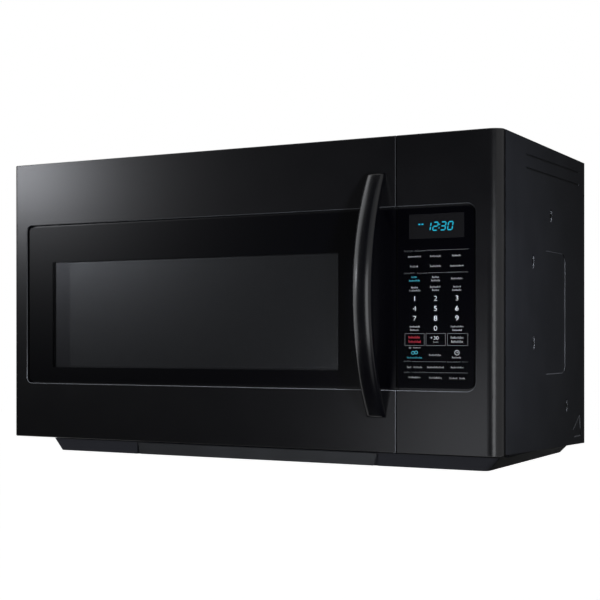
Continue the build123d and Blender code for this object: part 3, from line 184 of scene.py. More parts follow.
def pressingLightAndShade(tree, coords, tone, spec):
    # Painted light and shade on the side's pressed shapes: their walls are painted light where they
    # face the front or up and dark where they face down. The side's own front and rear edges are
    # left out. The pressed lines are painted dark as shade, and the bends that face neither way are
    # painted light as highlights.
    axes = addNode(tree, "ShaderNodeSeparateXYZ", {}, {"Vector": coords["Object"]}).outputs
    faces = addNode(tree, "ShaderNodeSeparateXYZ", {}, {"Vector": coords["Normal"]}).outputs
    low, high = spec["y"]
    settings = {"operation": "COMPARE", 1: (low + high) / 2 * mm, 2: (high - low) / 2 * mm}
    inside = addNode(tree, "ShaderNodeMath", settings, {0: axes["Y"]}).outputs[0]
    wall = addNode(tree, "ShaderNodeMath", {"operation": "COMPARE", 1: 0.0, 2: 0.5}, {0: faces["X"]}).outputs[0]
    side = addNode(tree, "ShaderNodeMath", {"operation": "ABSOLUTE"}, {0: axes["X"]}).outputs[0]
    settings = {"operation": "GREATER_THAN", 1: spec["sideX"] * mm}
    side = addNode(tree, "ShaderNodeMath", settings, {0: side}).outputs[0]
    for mask in (inside, side):
        wall = addNode(tree, "ShaderNodeMath", {"operation": "MULTIPLY"}, {0: wall, 1: mask}).outputs[0]
    turned = addNode(tree, "ShaderNodeMath", {"operation": "SUBTRACT"}, {0: faces["Z"], 1: faces["Y"]}).outputs[0]
    tint = twoTones(tree, turned, spec["dark"], spec["light"], (0.1, 0.9))
    tone = addNode(tree, "ShaderNodeMix", {"data_type": "RGBA"}, {0: wall, 6: tone, 7: tint}).outputs[2]
    for start, end, half, colour, strength in spec["creases"]:
        line = creaseMask(tree, coords["Object"], start, end, half)
        line = addNode(tree, "ShaderNodeMath", {"operation": "MULTIPLY"}, {0: line, 1: side}).outputs[0]
        line = addNode(tree, "ShaderNodeMath", {"operation": "MULTIPLY", 1: strength}, {0: line}).outputs[0]
        tone = addNode(tree, "ShaderNodeMix", {"data_type": "RGBA", 7: linear(colour)},
                       {0: line, 6: tone}).outputs[2]
    return tone


# Painted highlights on the chamfers of the front, at 45 degrees to it: round the glass, and down
# the door's closing edge at a share of that strength. Boxes and heights in mm.
chamferHighlightSpec = {"glassX": (-358.0, 348.0), "glassZ": (78.0, 313.5), "edgeX": (237.0, 240.0), "edgeZ": (0.0, 401.0),
               "edgeShare": 0.35, "low": "#515357", "high": "#232528", "heights": (85.0, 140.0)}


def paintedChamferHighlights(tree, coords, tone, spec):
    # Painted highlight: the chamfers are painted lighter, most of all low down, as if they caught the light.
    place = coords["Object"]
    front = addNode(tree, "ShaderNodeSeparateXYZ", {}, {"Vector": coords["Normal"]}).outputs["Y"]
    settings = {"operation": "COMPARE", 1: -math.sqrt(0.5), 2: 0.08}
    bevel = addNode(tree, "ShaderNodeMath", settings, {0: front}).outputs[0]
    edge = boxMask(tree, place, spec["edgeX"], spec["edgeZ"])
    around = addNode(tree, "ShaderNodeMath", {"operation": "MULTIPLY", 1: spec["edgeShare"]}, {0: edge}).outputs[0]
    glass = boxMask(tree, place, spec["glassX"], spec["glassZ"])
    around = addNode(tree, "ShaderNodeMath", {"operation": "MAXIMUM"}, {0: glass, 1: around}).outputs[0]
    bevel = addNode(tree, "ShaderNodeMath", {"operation": "MULTIPLY"}, {0: bevel, 1: around}).outputs[0]
    height = addNode(tree, "ShaderNodeSeparateXYZ", {}, {"Vector": place}).outputs["Z"]
    tint = twoTones(tree, height, spec["low"], spec["high"], [level * mm for level in spec["heights"]])
    return addNode(tree, "ShaderNodeMix", {"data_type": "RGBA"}, {0: bevel, 6: tone, 7: tint}).outputs[2]


def paintedSurface(name, spec):
    # Paint or moulded plastic: two close tones in broad blotches, a fine grain in the height,
    # and a gloss that wanders with the grain.
    material, tree, coords = newMaterial(name)
    settings = {"Scale": 1 / (spec.get("blotch", 60.0) * mm), "Detail": 3.0}
    blotch = addNode(tree, "ShaderNodeTexNoise", settings, {"Vector": coords["Object"]}).outputs["Fac"]
    settings = {"Scale": 1 / (spec["grain"] * mm), "Detail": spec.get("grainDetail", 2.0)}
    grain = addNode(tree, "ShaderNodeTexNoise", settings, {"Vector": coords["Object"]}).outputs["Fac"]
    tone = twoTones(tree, blotch, *spec["tones"], (0.3, 0.7))
    # Where a finish asks, painted shade in the front joint, painted light on front faces, painted light and shade on
    # pressed shapes and painted highlights on chamfers go over its tone.
    for key, change in (("seamY", paintedSeamShade), ("front", paintedFrontLight), ("pressed", pressingLightAndShade),
                        ("chamfers", paintedChamferHighlights)):
        if key in spec:
            tone = change(tree, coords, tone, spec[key])
    ends = {"To Min": spec["rough"][0], "To Max": spec["rough"][1]}
    rough = addNode(tree, "ShaderNodeMapRange", ends, {"Value": grain}).outputs["Result"]
    relief = addNode(tree, "ShaderNodeBump", {"Distance": spec["depth"] * mm}, {"Height": grain}).outputs["Normal"]
    settings = {"Metallic": spec.get("metal", 0.0), "Specular IOR Level": spec.get("specular", 0.5)}
    closeMaterial(tree, settings, {"Base Color": tone, "Roughness": rough, "Normal": relief})
    return material


# Painted, moulded and plain metal finishes. grain is the size of the fine texture and depth its
# relief, both in mm; rough is the range that the gloss wanders over.
paintSpecs = {
    # Gloss acrylic on steel: deep black whose reflections have a faint orange peel, with painted
    # highlights on its chamfers.
    "glossBlackPaint": {"tones": ("#050506", "#070708"), "rough": (0.23, 0.25),
                        "depth": 0.003, "grain": 2.2, "specular": 0.25, "chamfers": chamferHighlightSpec},
    # Powder coat on thin sheet: a fine even grain with wide soft highlights, painted shade in its
    # front joint and painted light and shade on its pressed shapes.
    "satinBlackPowderCoat": {"tones": ("#101114", "#141518"), "rough": (0.4, 0.5),
                             "depth": 0.015, "grain": 1.1, "specular": 0.2, "seamY": -349.8, "pressed": pressingLightSpec},
    # Dipped pan paint: a flat black that hardly shines, with painted light on its front faces.
    "satinBlackPanPaint": {"tones": ("#0e0f11", "#121315"), "rough": (0.4, 0.5),
                           "depth": 0.01, "grain": 1.2, "specular": 0.06, "front": "#292a2f"},
    # ABS from a spark-eroded mould: dull, with a tight grain.
    "blackAbs": {"tones": ("#151617", "#1a1b1d"), "rough": (0.35, 0.45),
                 "depth": 0.02, "grain": 0.9, "specular": 0.25},
    # ABS from a polished mould: narrow clear highlights on deep black.
    "glossBlackHandlePlastic": {"tones": ("#010102", "#020203"), "rough": (0.23, 0.25),
                                "depth": 0.001, "grain": 3.0, "specular": 0.28},
    # Sprayed and baked enamel: pale warm grey with a soft sheen.
    "bakedGreyEnamel": {"tones": ("#b4b2ab", "#c3c1ba"), "rough": (0.32, 0.48), "depth": 0.02, "grain": 1.5},
    # Baked paint on punched steel: plain dark satin.
    "blackBakedPaint": {"tones": ("#121213", "#1a1a1b"), "rough": (0.39, 0.51),
                        "depth": 0.012, "grain": 1.0, "specular": 0.3},
    # Moulded PBT: slightly warm white, satin.
    "whitePbt": {"tones": ("#d6d3c8", "#e3e0d6"), "rough": (0.39, 0.51), "depth": 0.015, "grain": 1.0},
    # Moulded polypropylene: light grey, a little waxy.
    "greyFanPlastic": {"tones": ("#bdbcb6", "#cac9c3"), "rough": (0.35, 0.45), "depth": 0.01, "grain": 1.1},
    # Glass-filled polypropylene: dull charcoal.
    "darkDuctPlastic": {"tones": ("#2a2b2e", "#34363a"), "rough": (0.42, 0.58),
                        "depth": 0.02, "grain": 1.3, "specular": 0.3},
    # Pressed phenolic resin: brown black with a hard sheen.
    "bakelite": {"tones": ("#241c16", "#31271f"), "rough": (0.3, 0.4), "depth": 0.008, "grain": 1.0},
    # Moulded nylon: clean red with a soft highlight.
    "redSwitchPlastic": {"tones": ("#9c1c16", "#b0241d"), "rough": (0.3, 0.4), "depth": 0.006, "grain": 1.0},
    # The same nylon in black.
    "blackSwitchPlastic": {"tones": ("#151517", "#1e1e20"), "rough": (0.33, 0.43), "depth": 0.008, "grain": 0.9},
    # Moulded rubber: dark and matt, with no clear reflection.
    "blackRubber": {"tones": ("#141415", "#1c1c1d"), "rough": (0.67, 0.83),
                    "depth": 0.03, "grain": 1.2, "specular": 0.25},
    # Pressed and fired steatite: chalky white with a thin glaze.
    "steatite": {"tones": ("#dcd7ca", "#ebe7dc"), "rough": (0.26, 0.38), "depth": 0.02, "grain": 1.4},
    # Bright zinc on pressed steel: cool grey, half a mirror.
    "zincPlatedSteel": {"tones": ("#a9acb0", "#c3c6c9"), "rough": (0.26, 0.42),
                        "depth": 0.006, "grain": 1.4, "metal": 1.0},
    # Phosphated screws: dark grey metal with a dim glint.
    "blackenedSteel": {"tones": ("#202123", "#2c2e30"), "rough": (0.3, 0.46),
                       "depth": 0.006, "grain": 0.8, "metal": 1.0},
    # Die-cast aluminium: dull light grey with a rough skin.
    "castAluminium": {"tones": ("#8f9294", "#a4a7a9"), "rough": (0.4, 0.6),
                      "depth": 0.03, "grain": 1.0, "metal": 1.0},
    # Rolled aluminium: pale grey with a satin reflection.
    "plainAluminium": {"tones": ("#b3b6b8", "#c8cbcc"), "rough": (0.28, 0.44),
                       "depth": 0.008, "grain": 2.0, "metal": 1.0},
    # Needled felt full of carbon: matt black tufts.
    "carbonFelt": {"tones": ("#0c0c0d", "#1e1e20"), "rough": (0.91, 0.99),
                   "depth": 0.5, "grain": 2.4, "grainDetail": 5.0, "blotch": 6.0, "specular": 0.1},
}
paints = {name: paintedSurface(name, spec) for name, spec in paintSpecs.items()}
print("paints and plastics made")


def galvanisedSteel():
    # Hot-dip galvanised sheet: flat crystal patches about 14 mm across, each with its own tone.
    material, tree, coords = newMaterial("galvanisedSteel")
    crystals = addNode(tree, "ShaderNodeTexVoronoi", {"Scale": 1 / (14 * mm)}, {"Vector": coords["Object"]})
    grey = addNode(tree, "ShaderNodeSeparateColor", {}, {"Color": crystals.outputs["Color"]}).outputs["Red"]
    grain = addNode(tree, "ShaderNodeTexNoise", {"Scale": 1 / (1.5 * mm)}, {"Vector": coords["Object"]})
    rough = addNode(tree, "ShaderNodeMapRange", {"To Min": 0.34, "To Max": 0.56}, {"Value": grey})
    relief = addNode(tree, "ShaderNodeBump", {"Distance": 0.006 * mm}, {"Height": grain.outputs["Fac"]})
    closeMaterial(tree, {"Metallic": 1.0}, {
        "Base Color": twoTones(tree, grey, "#84888c", "#b4b8bb"),
        "Roughness": rough.outputs["Result"], "Normal": relief.outputs["Normal"]})
    return material


def bandedSurface(name, spec):
    # Stacked laminations or laid wire: thin bands one above the other, dark in the grooves.
    material, tree, coords = newMaterial(name)
    settings = {"Scale": wavePeriod / (spec["pitch"] * mm), "Distortion": 0.15, "bands_direction": "Z"}
    wave = addNode(tree, "ShaderNodeTexWave", settings, {"Vector": coords["Object"]}).outputs["Fac"]
    relief = addNode(tree, "ShaderNodeBump", {"Distance": spec["depth"] * mm}, {"Height": wave})
    closeMaterial(tree, {"Metallic": spec["metal"], "Roughness": spec["rough"]}, {
        "Base Color": twoTones(tree, wave, *spec["tones"], (0.1, 0.6)),
        "Normal": relief.outputs["Normal"]})
    return material


def clearGlass(name, spec):
    # Glass that light passes, with a faint tint; upright ribs where it is patterned.
    material, tree, coords = newMaterial(name)
    settings = {"Base Color": linear(spec["colour"]), "Roughness": spec["rough"], "IOR": 1.5,
                "Transmission Weight": spec.get("clear", 0.0), "Alpha": spec.get("alpha", 1.0)}
    links = {}
    if "rib" in spec:
        ribs = addNode(tree, "ShaderNodeTexWave", {"Scale": wavePeriod / (spec["rib"] * mm)},
                       {"Vector": coords["Object"]})
        relief = addNode(tree, "ShaderNodeBump", {"Distance": spec["depth"] * mm}, {"Height": ribs.outputs["Fac"]})
        links["Normal"] = relief.outputs["Normal"]
    closeMaterial(tree, settings, links)
    return material


# The front glasses are printed black on the back. The door's window is left open in the print
# and tinted, and the display shows faintly through the panel's glass: tone is the colour
# inside that box, shine the glass's specular level, and peel the size in mm of the waves in it.
windowSpec = {"x": (-310.5, 156.9), "z": (103.4, 256.7), "clear": 0.7, "tone": "#050506", "shine": 0.11,
              "peel": 40.0}
displaySpec = {"x": (257.3, 330.6), "z": (270.5, 300.9), "tone": "#0a0a0b", "shine": 0.03, "peel": 40.0}

# The screen lies just behind the glass; its punched field starts well inside the window's left end.
screenSpec = {"x": (-312.2, 163.6), "z": (96.7, 263.4), "y": (-360.9, -360.4), "corner": 4.0,
              "punchedX": (-281.5, 158.0), "punchedZ": (102.0, 254.0), "pitch": 4.2}


def printedGlass(name, spec):
    material, tree, coords = newMaterial(name)
    box = boxMask(tree, coords["Object"], spec["x"], spec["z"])
    peel = addNode(tree, "ShaderNodeTexNoise", {"Scale": 1 / (spec["peel"] * mm), "Detail": 1.0},
                   {"Vector": coords["Object"]})
    relief = addNode(tree, "ShaderNodeBump", {"Distance": 0.002 * mm}, {"Height": peel.outputs["Fac"]})
    links = {"Base Color": twoTones(tree, box, "#010102", spec["tone"]), "Normal": relief.outputs["Normal"]}
    if "clear" in spec:
        solid = addNode(tree, "ShaderNodeMapRange", {"To Min": 1.0, "To Max": 1.0 - spec["clear"]}, {"Value": box})
        links["Alpha"] = solid.outputs["Result"]
    closeMaterial(tree, {"Roughness": 0.26, "IOR": 1.5, "Specular IOR Level": spec["shine"]}, links)
    return material


def perforatedScreen(spec):
    # Blackened steel sheet punched in rows, with a plain margin. The real 1.6 mm pitch is too
    # fine to show, so it is drawn at 4.2 mm.
    material, tree, coords = newMaterial("perforatedScreen")
    settings = {"Scale": 1 / (spec["pitch"] * mm), "Randomness": 0.0}
    holes = addNode(tree, "ShaderNodeTexVoronoi", settings, {"Vector": coords["Object"]}).outputs["Distance"]
    punched = boxMask(tree, coords["Object"], spec["punchedX"], spec["punchedZ"], 2.0)
    sheet = twoTones(tree, holes, "#565759", "#858789", (0.3, 0.42))
    tone = addNode(tree, "ShaderNodeMix", {"data_type": "RGBA", 6: linear("#626366")},
                   {0: punched, 7: sheet}).outputs[2]
    relief = addNode(tree, "ShaderNodeBump", {"Distance": 0.03 * mm}, {"Height": holes}).outputs["Normal"]
    closeMaterial(tree, {"Roughness": 0.265, "Metallic": 1.0}, {"Base Color": tone, "Normal": relief})
    return material


def expandedMeshAluminium():
    # Filter pad: layers of expanded aluminium mesh, diamonds about 5 mm across, made by two
    # sets of wavering strands that cross; the higher strand shows.
    material, tree, coords = newMaterial("expandedMeshAluminium")
    settings = {"Scale": wavePeriod / (5.0671 * mm), "Distortion": 1.2, "Detail Scale": 4.0}
    strands = []
    for turn in (0.6, -0.6):
        turned = addNode(tree, "ShaderNodeMapping", {"Rotation": (0, 0, turn)}, {"Vector": coords["Object"]})
        wave = addNode(tree, "ShaderNodeTexWave", settings, {"Vector": turned.outputs["Vector"]})
        strands.append(wave.outputs["Fac"])
    height = addNode(tree, "ShaderNodeMath", {"operation": "MAXIMUM"}, dict(enumerate(strands))).outputs[0]
    relief = addNode(tree, "ShaderNodeBump", {"Distance": 0.5 * mm}, {"Height": height}).outputs["Normal"]
    closeMaterial(tree, {"Metallic": 1.0, "Roughness": 0.35}, {
        "Base Color": twoTones(tree, height, "#55585a", "#c2c5c7", (0.3, 0.9)), "Normal": relief})
    return material


def epoxyBoard():
    # Green solder mask with lighter copper tracks under it.
    material, tree, coords = newMaterial("epoxyBoard")
    settings = {"Scale": 1 / (9 * mm), "distance": "MANHATTAN", "Randomness": 0.7}
    tracks = addNode(tree, "ShaderNodeTexVoronoi", settings, {"Vector": coords["Object"]}).outputs["Distance"]
    relief = addNode(tree, "ShaderNodeBump", {"Distance": 0.03 * mm}, {"Height": tracks}).outputs["Normal"]
    closeMaterial(tree, {"Roughness": 0.35}, {
        "Base Color": twoTones(tree, tracks, "#1d5a35", "#0f3a21", (0.3, 0.5)), "Normal": relief})
    return material


def micaSheet():
    # Pressed mica flakes: pearly beige with broad flakes of two tones.
    material, tree, coords = newMaterial("micaSheet")
    flakes = addNode(tree, "ShaderNodeTexVoronoi", {"Scale": 1 / (6 * mm)}, {"Vector": coords["Object"]})
    tone = addNode(tree, "ShaderNodeSeparateColor", {}, {"Color": flakes.outputs["Color"]}).outputs["Green"]
    relief = addNode(tree, "ShaderNodeBump", {"Distance": 0.02 * mm}, {"Height": tone}).outputs["Normal"]
    closeMaterial(tree, {"Roughness": 0.3}, {
        "Base Color": twoTones(tree, tone, "#8f8068", "#b6a88c"), "Normal": relief})
    return material


def litPrint(name, spec):
    # Printed ink or a lit display segment: two close tones in 0.5 mm specks, and its own light.
    # On the display that light is real; on the inks it is a painted glow.
    material, tree, coords = newMaterial(name)
    speck = addNode(tree, "ShaderNodeTexNoise", {"Scale": 1 / (0.5 * mm), "Detail": 1.0},
                    {"Vector": coords["Object"]}).outputs["Fac"]
    settings = {"Roughness": 0.4, "Emission Color": linear(spec.get("shine", spec["tones"][1])),
                "Emission Strength": spec["glow"], "Specular IOR Level": 0.1}
    closeMaterial(tree, settings, {"Base Color": twoTones(tree, speck, *spec["tones"], (0.3, 0.7))})
    return material


# Screen-printed inks on the glass, each with a faint painted glow, and the blue-green light of the display.
inkSpecs = {
    "whiteInk": {"tones": ("#6a6c6e", "#7c7e80"), "glow": 0.1},
    "digitInk": {"tones": ("#a2a4a5", "#bdbfc1"), "glow": 0.15},
    "greyInk": {"tones": ("#383a3c", "#424446"), "glow": 0.05},
    "redInk": {"tones": ("#651b24", "#76202a"), "glow": 0.1},
    "cyanInk": {"tones": ("#25626c", "#2c727e"), "glow": 0.1},
    "cyanDisplayLight": {"tones": ("#031215", "#031215"), "shine": "#20b4d4", "glow": 1.0},
}
inks = {name: litPrint(name, spec) for name, spec in inkSpecs.items()}

finishes = {
    **paints,
    "galvanisedSteel": galvanisedSteel(),
    "laminatedIron": bandedSurface("laminatedIron", {
        "pitch": 0.6286, "tones": ("#232426", "#4a4c50"), "depth": 0.1, "metal": 0.7, "rough": 0.5}),
    "enamelledCopperWire": bandedSurface("enamelledCopperWire", {
        "pitch": 0.88, "tones": ("#5a2c12", "#b26a33"), "depth": 0.3, "metal": 0.6, "rough": 0.35}),
    "sodaLimeGlass": clearGlass("sodaLimeGlass", {"colour": "#eef5f3", "rough": 0.03, "clear": 1.0}),
    "innerPaneGlass": clearGlass("innerPaneGlass", {"colour": "#c9d2d2", "rough": 0.02, "alpha": 0.22}),
    "ribbedLensGlass": clearGlass("ribbedLensGlass", {
        "colour": "#e8edee", "rough": 0.25, "clear": 0.85, "rib": 2.513, "depth": 0.6}),
    "bulbGlass": clearGlass("bulbGlass", {"colour": "#f4efe2", "rough": 0.05, "clear": 0.8}),
    "printedDoorGlass": printedGlass("printedDoorGlass", windowSpec),
    "printedPanelGlass": printedGlass("printedPanelGlass", displaySpec),
    "perforatedScreen": perforatedScreen(screenSpec),
    "expandedMeshAluminium": expandedMeshAluminium(),
    "epoxyBoard": epoxyBoard(),
    "micaSheet": micaSheet(),
}
print("special materials made")

# Each finish and the CAD nodes that have it.
nodeFinish = {
    "satinBlackPowderCoat": "outer_case", "satinBlackPanPaint": "base_pan",
    "glossBlackPaint": "control_frame door_frame", "glossBlackHandlePlastic": "door_handle",
    "blackBakedPaint": "door_choke_plate", "bakedGreyEnamel": "oven_cavity",
    "blackAbs": "base_front_strip vent_grille door_choke_cover",
    "darkDuctPlastic": "fan_shroud blower_housing", "greyFanPlastic": "cooling_fan_blade",
    "whitePbt": "turntable_coupler roller_ring roller_1 roller_2 roller_3 latch_body door_latch",
    "blackSwitchPlastic": "interlock_switches display_module",
    "redSwitchPlastic": "switch_plunger_lower switch_plunger_middle switch_plunger_upper",
    "bakelite": "thermal_cutouts", "steatite": "lamp_sockets", "blackRubber": "cable_grommet",
    "carbonFelt": "charcoal_filter", "blackenedSteel": "case_screws", "castAluminium": "blower_motor",
    "plainAluminium": "magnetron capacitor blower_wheel_left blower_wheel_right",
    "zincPlatedSteel": "cooling_fan_motor turntable_motor blower_shaft hinge_upper hinge_lower "
                       "latch_spring handle_screws",
    "galvanisedSteel": "rear_plate waveguide", "laminatedIron": "transformer_core",
    "enamelledCopperWire": "transformer_windings",
    "expandedMeshAluminium": "grease_filter_left grease_filter_right",
    "epoxyBoard": "noise_filter_board control_board", "micaSheet": "waveguide_cover",
    "sodaLimeGlass": "glass_tray", "innerPaneGlass": "door_inner_pane", "bulbGlass": "lamp_bulbs",
    "ribbedLensGlass": "lamp_cover_left lamp_cover_right", "printedDoorGlass": "door_glass",
    "printedPanelGlass": "control_glass",
}
for finish, names in nodeFinish.items():
    for name in names.split():
        nodes[name].data.materials.clear()
        nodes[name].data.materials.append(finishes[finish])
missing = sorted(set(nodes) - set(" ".join(nodeFinish.values()).split()))
print("finishes set, nodes without one:", missing)


def meshObject(name, points, faces, material):
    # An object at the origin: its points in metres, its faces as rows of indices.
    mesh = bpy.data.meshes.new(name)
    mesh.from_pydata(np.asarray(points).tolist(), [], faces)
    mesh.materials.append(material)
    made = bpy.data.objects.new(name, mesh)
    bpy.context.scene.collection.objects.link(made)
    return made


def makePiece(name, points, faces, material, body, smooth=True):
    # A piece of the oven, which moves with a body.
    piece = meshObject(name, points, faces, material)
    piece.data.polygons.foreach_set("use_smooth", [smooth] * len(piece.data.polygons))
    piece.data.update()
    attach(piece, body)
    return piece


def fixNormals(piece):
    # Doubles are merged first, so that the whole shell turns outwards as one.
    shape = bmesh.new()
    shape.from_mesh(piece.data)
    bmesh.ops.remove_doubles(shape, verts=shape.verts, dist=1e-7)
    bmesh.ops.recalc_face_normals(shape, faces=shape.faces)
    shape.to_mesh(piece.data)
    shape.free()


def gridFaces(rows, columns, closeColumns=True):
    # Quads of a grid whose points run row by row; closed round each row if asked.
    row = np.arange(rows - 1)[:, None]
    column = np.arange(columns if closeColumns else columns - 1)[None, :]
    after = (column + 1) % columns
    corners = [row * columns + column, row * columns + after,
               (row + 1) * columns + after, (row + 1) * columns + column]
    return np.stack([np.broadcast_to(c, (rows - 1, column.size)) for c in corners], -1).reshape(-1, 4)


# Door handle: a bow of 26 by 15 mm soft-cornered section, its ends cut level. sink is how far
# the bow's ends reach into the door's front, where clear cuts it off just above the paint.
handleSpec = {
    "x": 212.7, "low": 44.5, "high": 355.0, "bow": 43.3, "sink": 1.0, "front": -367.0, "clear": 0.02,
    "width": 26.0, "thick": 15.0, "power": 2.4, "rows": 120, "round": 96,
}


def handleBow(spec):
    # A superellipse |u|^p + |v|^p = 1 carried along a circular arc in the YZ plane. A point
    # at height z stands where the circle of its own radius crosses that height, so both ends
    # are level cuts.
    chord = (spec["high"] - spec["low"]) / 2
    radius = (chord**2 + spec["bow"]**2) / (2 * spec["bow"])
    centreY = spec["front"] + spec["sink"] - spec["bow"] + radius
    centreZ = (spec["high"] + spec["low"]) / 2
    count = spec["round"]
    angle = np.linspace(0, 2 * math.pi, count, endpoint=False)
    power = 2 / spec["power"]
    across = np.sign(np.cos(angle)) * np.abs(np.cos(angle)) ** power * spec["width"] / 2
    deep = np.sign(np.sin(angle)) * np.abs(np.sin(angle)) ** power * spec["thick"] / 2
    z = np.linspace(spec["low"], spec["high"], spec["rows"])[:, None]
    ownRadius = radius + deep[None, :]
    y = centreY - np.sqrt(ownRadius**2 - (z - centreZ) ** 2)
    y = np.minimum(y, spec["front"] - spec["clear"])
    x = np.broadcast_to(spec["x"] + across[None, :], y.shape)
    points = np.stack([x, y, np.broadcast_to(z, y.shape)], -1).reshape(-1, 3) * mm
    faces = gridFaces(spec["rows"], count).tolist()
    faces.append(list(range(count))[::-1])
    faces.append([(spec["rows"] - 1) * count + i for i in range(count)])
    piece = makePiece("handleBow", points, faces, paints["glossBlackHandlePlastic"], "door")
    for polygon in piece.data.polygons[-2:]:
        polygon.use_smooth = False
    fixNormals(piece)
    return piece


handle = handleBow(handleSpec)
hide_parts("door_handle")
print("handle made")


def roundedPlate(name, spec, material, body, steps=8):
    # A thin plate square to Y: a rectangle's outline with a quarter circle at each corner,
    # carried from the front to the back face.
    x, z, corner = spec["x"], spec["z"], spec["corner"]
    centres = [(x[1] - corner, z[1] - corner), (x[0] + corner, z[1] - corner),
               (x[0] + corner, z[0] + corner), (x[1] - corner, z[0] + corner)]
    turn = np.linspace(0, math.pi / 2, steps)[None, :] + np.arange(4)[:, None] * math.pi / 2
    outline = np.stack([np.cos(turn), np.sin(turn)], -1) * corner + np.array(centres)[:, None]
    outline = outline.reshape(-1, 2)
    count = len(outline)
    layers = [np.column_stack([outline[:, 0], np.full(count, depth), outline[:, 1]]) for depth in spec["y"]]
    faces = gridFaces(2, count).tolist()
    faces.append(list(range(count)))
    faces.append([count + i for i in range(count)][::-1])
    piece = makePiece(name, np.concatenate(layers) * mm, faces, material, body, smooth=False)
    fixNormals(piece)
    return piece


screen = roundedPlate("windowScreen", screenSpec, finishes["perforatedScreen"], "door")
print("window screen made")


# Panel prints: all lie 0.06 mm proud of the glass, as thick ink would. Sizes in mm; widen
# stretches the digits sideways and thin takes that share of their height off each stroke.
printSpec = {"y": -365.06, "widen": 1.18, "thin": 0.02, "ringSteps": 32}
square = np.array([(-1, -1), (1, -1), (1, 1), (-1, 1)])


def printedPiece(name, corners, faces, material):
    # A flat print on the panel's glass, from rows of x and z.
    points = np.column_stack([corners[:, 0], np.full(len(corners), printSpec["y"]), corners[:, 1]])
    piece = makePiece(name, points * mm, faces, material, "oven", smooth=False)
    return piece


def flatBars(name, bars, material):
    # Thin rectangles, each given by its centre x and z, width and height.
    bars = np.array(bars, float)
    corners = bars[:, None, :2] + bars[:, None, 2:] / 2 * square
    return printedPiece(name, corners.reshape(-1, 2), np.arange(4 * len(bars)).reshape(-1, 4).tolist(), material)


def frameBars(x, z, line):
    # The four thin bars of a rectangle's outline.
    cx, cz = sum(x) / 2, sum(z) / 2
    wide, high = x[1] - x[0], z[1] - z[0]
    return [(cx, z[0], wide, line), (cx, z[1], wide, line), (x[0], cz, line, high), (x[1], cz, line, high)]


def ringMarks(name, rings, material):
    # Flat rings, each given by its centre x and z, radius and line width: two circles half a
    # line outside and inside that radius, with a quad between them at each step.
    steps = printSpec["ringSteps"]
    turn = np.linspace(0, 2 * math.pi, steps, endpoint=False)
    circle = np.stack([np.cos(turn), np.sin(turn)], -1)
    corners = [(cx, cz) + (radius + side * line / 2) * circle for cx, cz, radius, line in rings for side in (1, -1)]
    faces = [(gridFaces(2, steps) + 2 * steps * i).tolist() for i in range(len(rings))]
    return printedPiece(name, np.concatenate(corners), sum(faces, []), material)


def printedDigits(name, entries, height, material):
    # Plain digits from Blender's own font, each centred on its x and z, in one flat mesh.
    corners, faces, count = [], [], 0
    for text, cx, cz in entries:
        curve = bpy.data.curves.new("digit", "FONT")
        curve.body = text
        curve.size = height
        curve.align_x = "CENTER"
        curve.align_y = "CENTER"
        curve.offset = -printSpec["thin"] * height
        holder = bpy.data.objects.new("digit", curve)
        bpy.context.scene.collection.objects.link(holder)
        bpy.context.view_layer.update()
        flat = bpy.data.meshes.new_from_object(holder)
        own = np.zeros(len(flat.vertices) * 3)
        flat.vertices.foreach_get("co", own)
        corners.append(own.reshape(-1, 3)[:, :2] * (printSpec["widen"], 1.0) + (cx, cz))
        faces += [[count + i for i in polygon.vertices] for polygon in flat.polygons]
        count += len(flat.vertices)
        bpy.data.objects.remove(holder)
        bpy.data.curves.remove(curve)
        bpy.data.meshes.remove(flat)
    return printedPiece(name, np.concatenate(corners), faces, material)


# The number keys: three columns, rows of digits by height, and the zero under the middle one.
keySpec = {"columns": (264.7, 292.8, 321.4), "rows": {194.8: "123", 182.3: "456", 170.0: "789"},
           "zero": 157.5, "height": 8.9}


def keyDigits(spec):
    columns = spec["columns"]
    entries = [(text, x, z) for z, row in spec["rows"].items() for text, x in zip(row, columns)]
    printedDigits("keyDigits", entries + [("0", columns[1], spec["zero"])], spec["height"], inks["digitInk"])


# Rules across the panel, each as its first and last x and its height, and three boxes.
ruleSpec = {
    "ruleLine": 0.4, "boxLine": 0.6, "boxZ": (136.2, 151.2),
    "rules": ((281.4, 335.8, 255.4), (282.7, 335.8, 227.3), (261.0, 306.8, 115.9), (328.0, 335.8, 115.9),
              (261.0, 335.8, 102.4)),
    "boxes": ((251.3, 277.7), (280.0, 306.1), (308.8, 335.6)),
}


def rulesAndBoxes(spec):
    rules = [((low + high) / 2, z, high - low, spec["ruleLine"]) for low, high, z in spec["rules"]]
    flatBars("panelRules", rules, inks["greyInk"])
    boxes = [bar for x in spec["boxes"] for bar in frameBars(x, spec["boxZ"], spec["boxLine"])]
    flatBars("keyOutlines", boxes, inks["greyInk"])


keyDigits(keySpec)
rulesAndBoxes(ruleSpec)

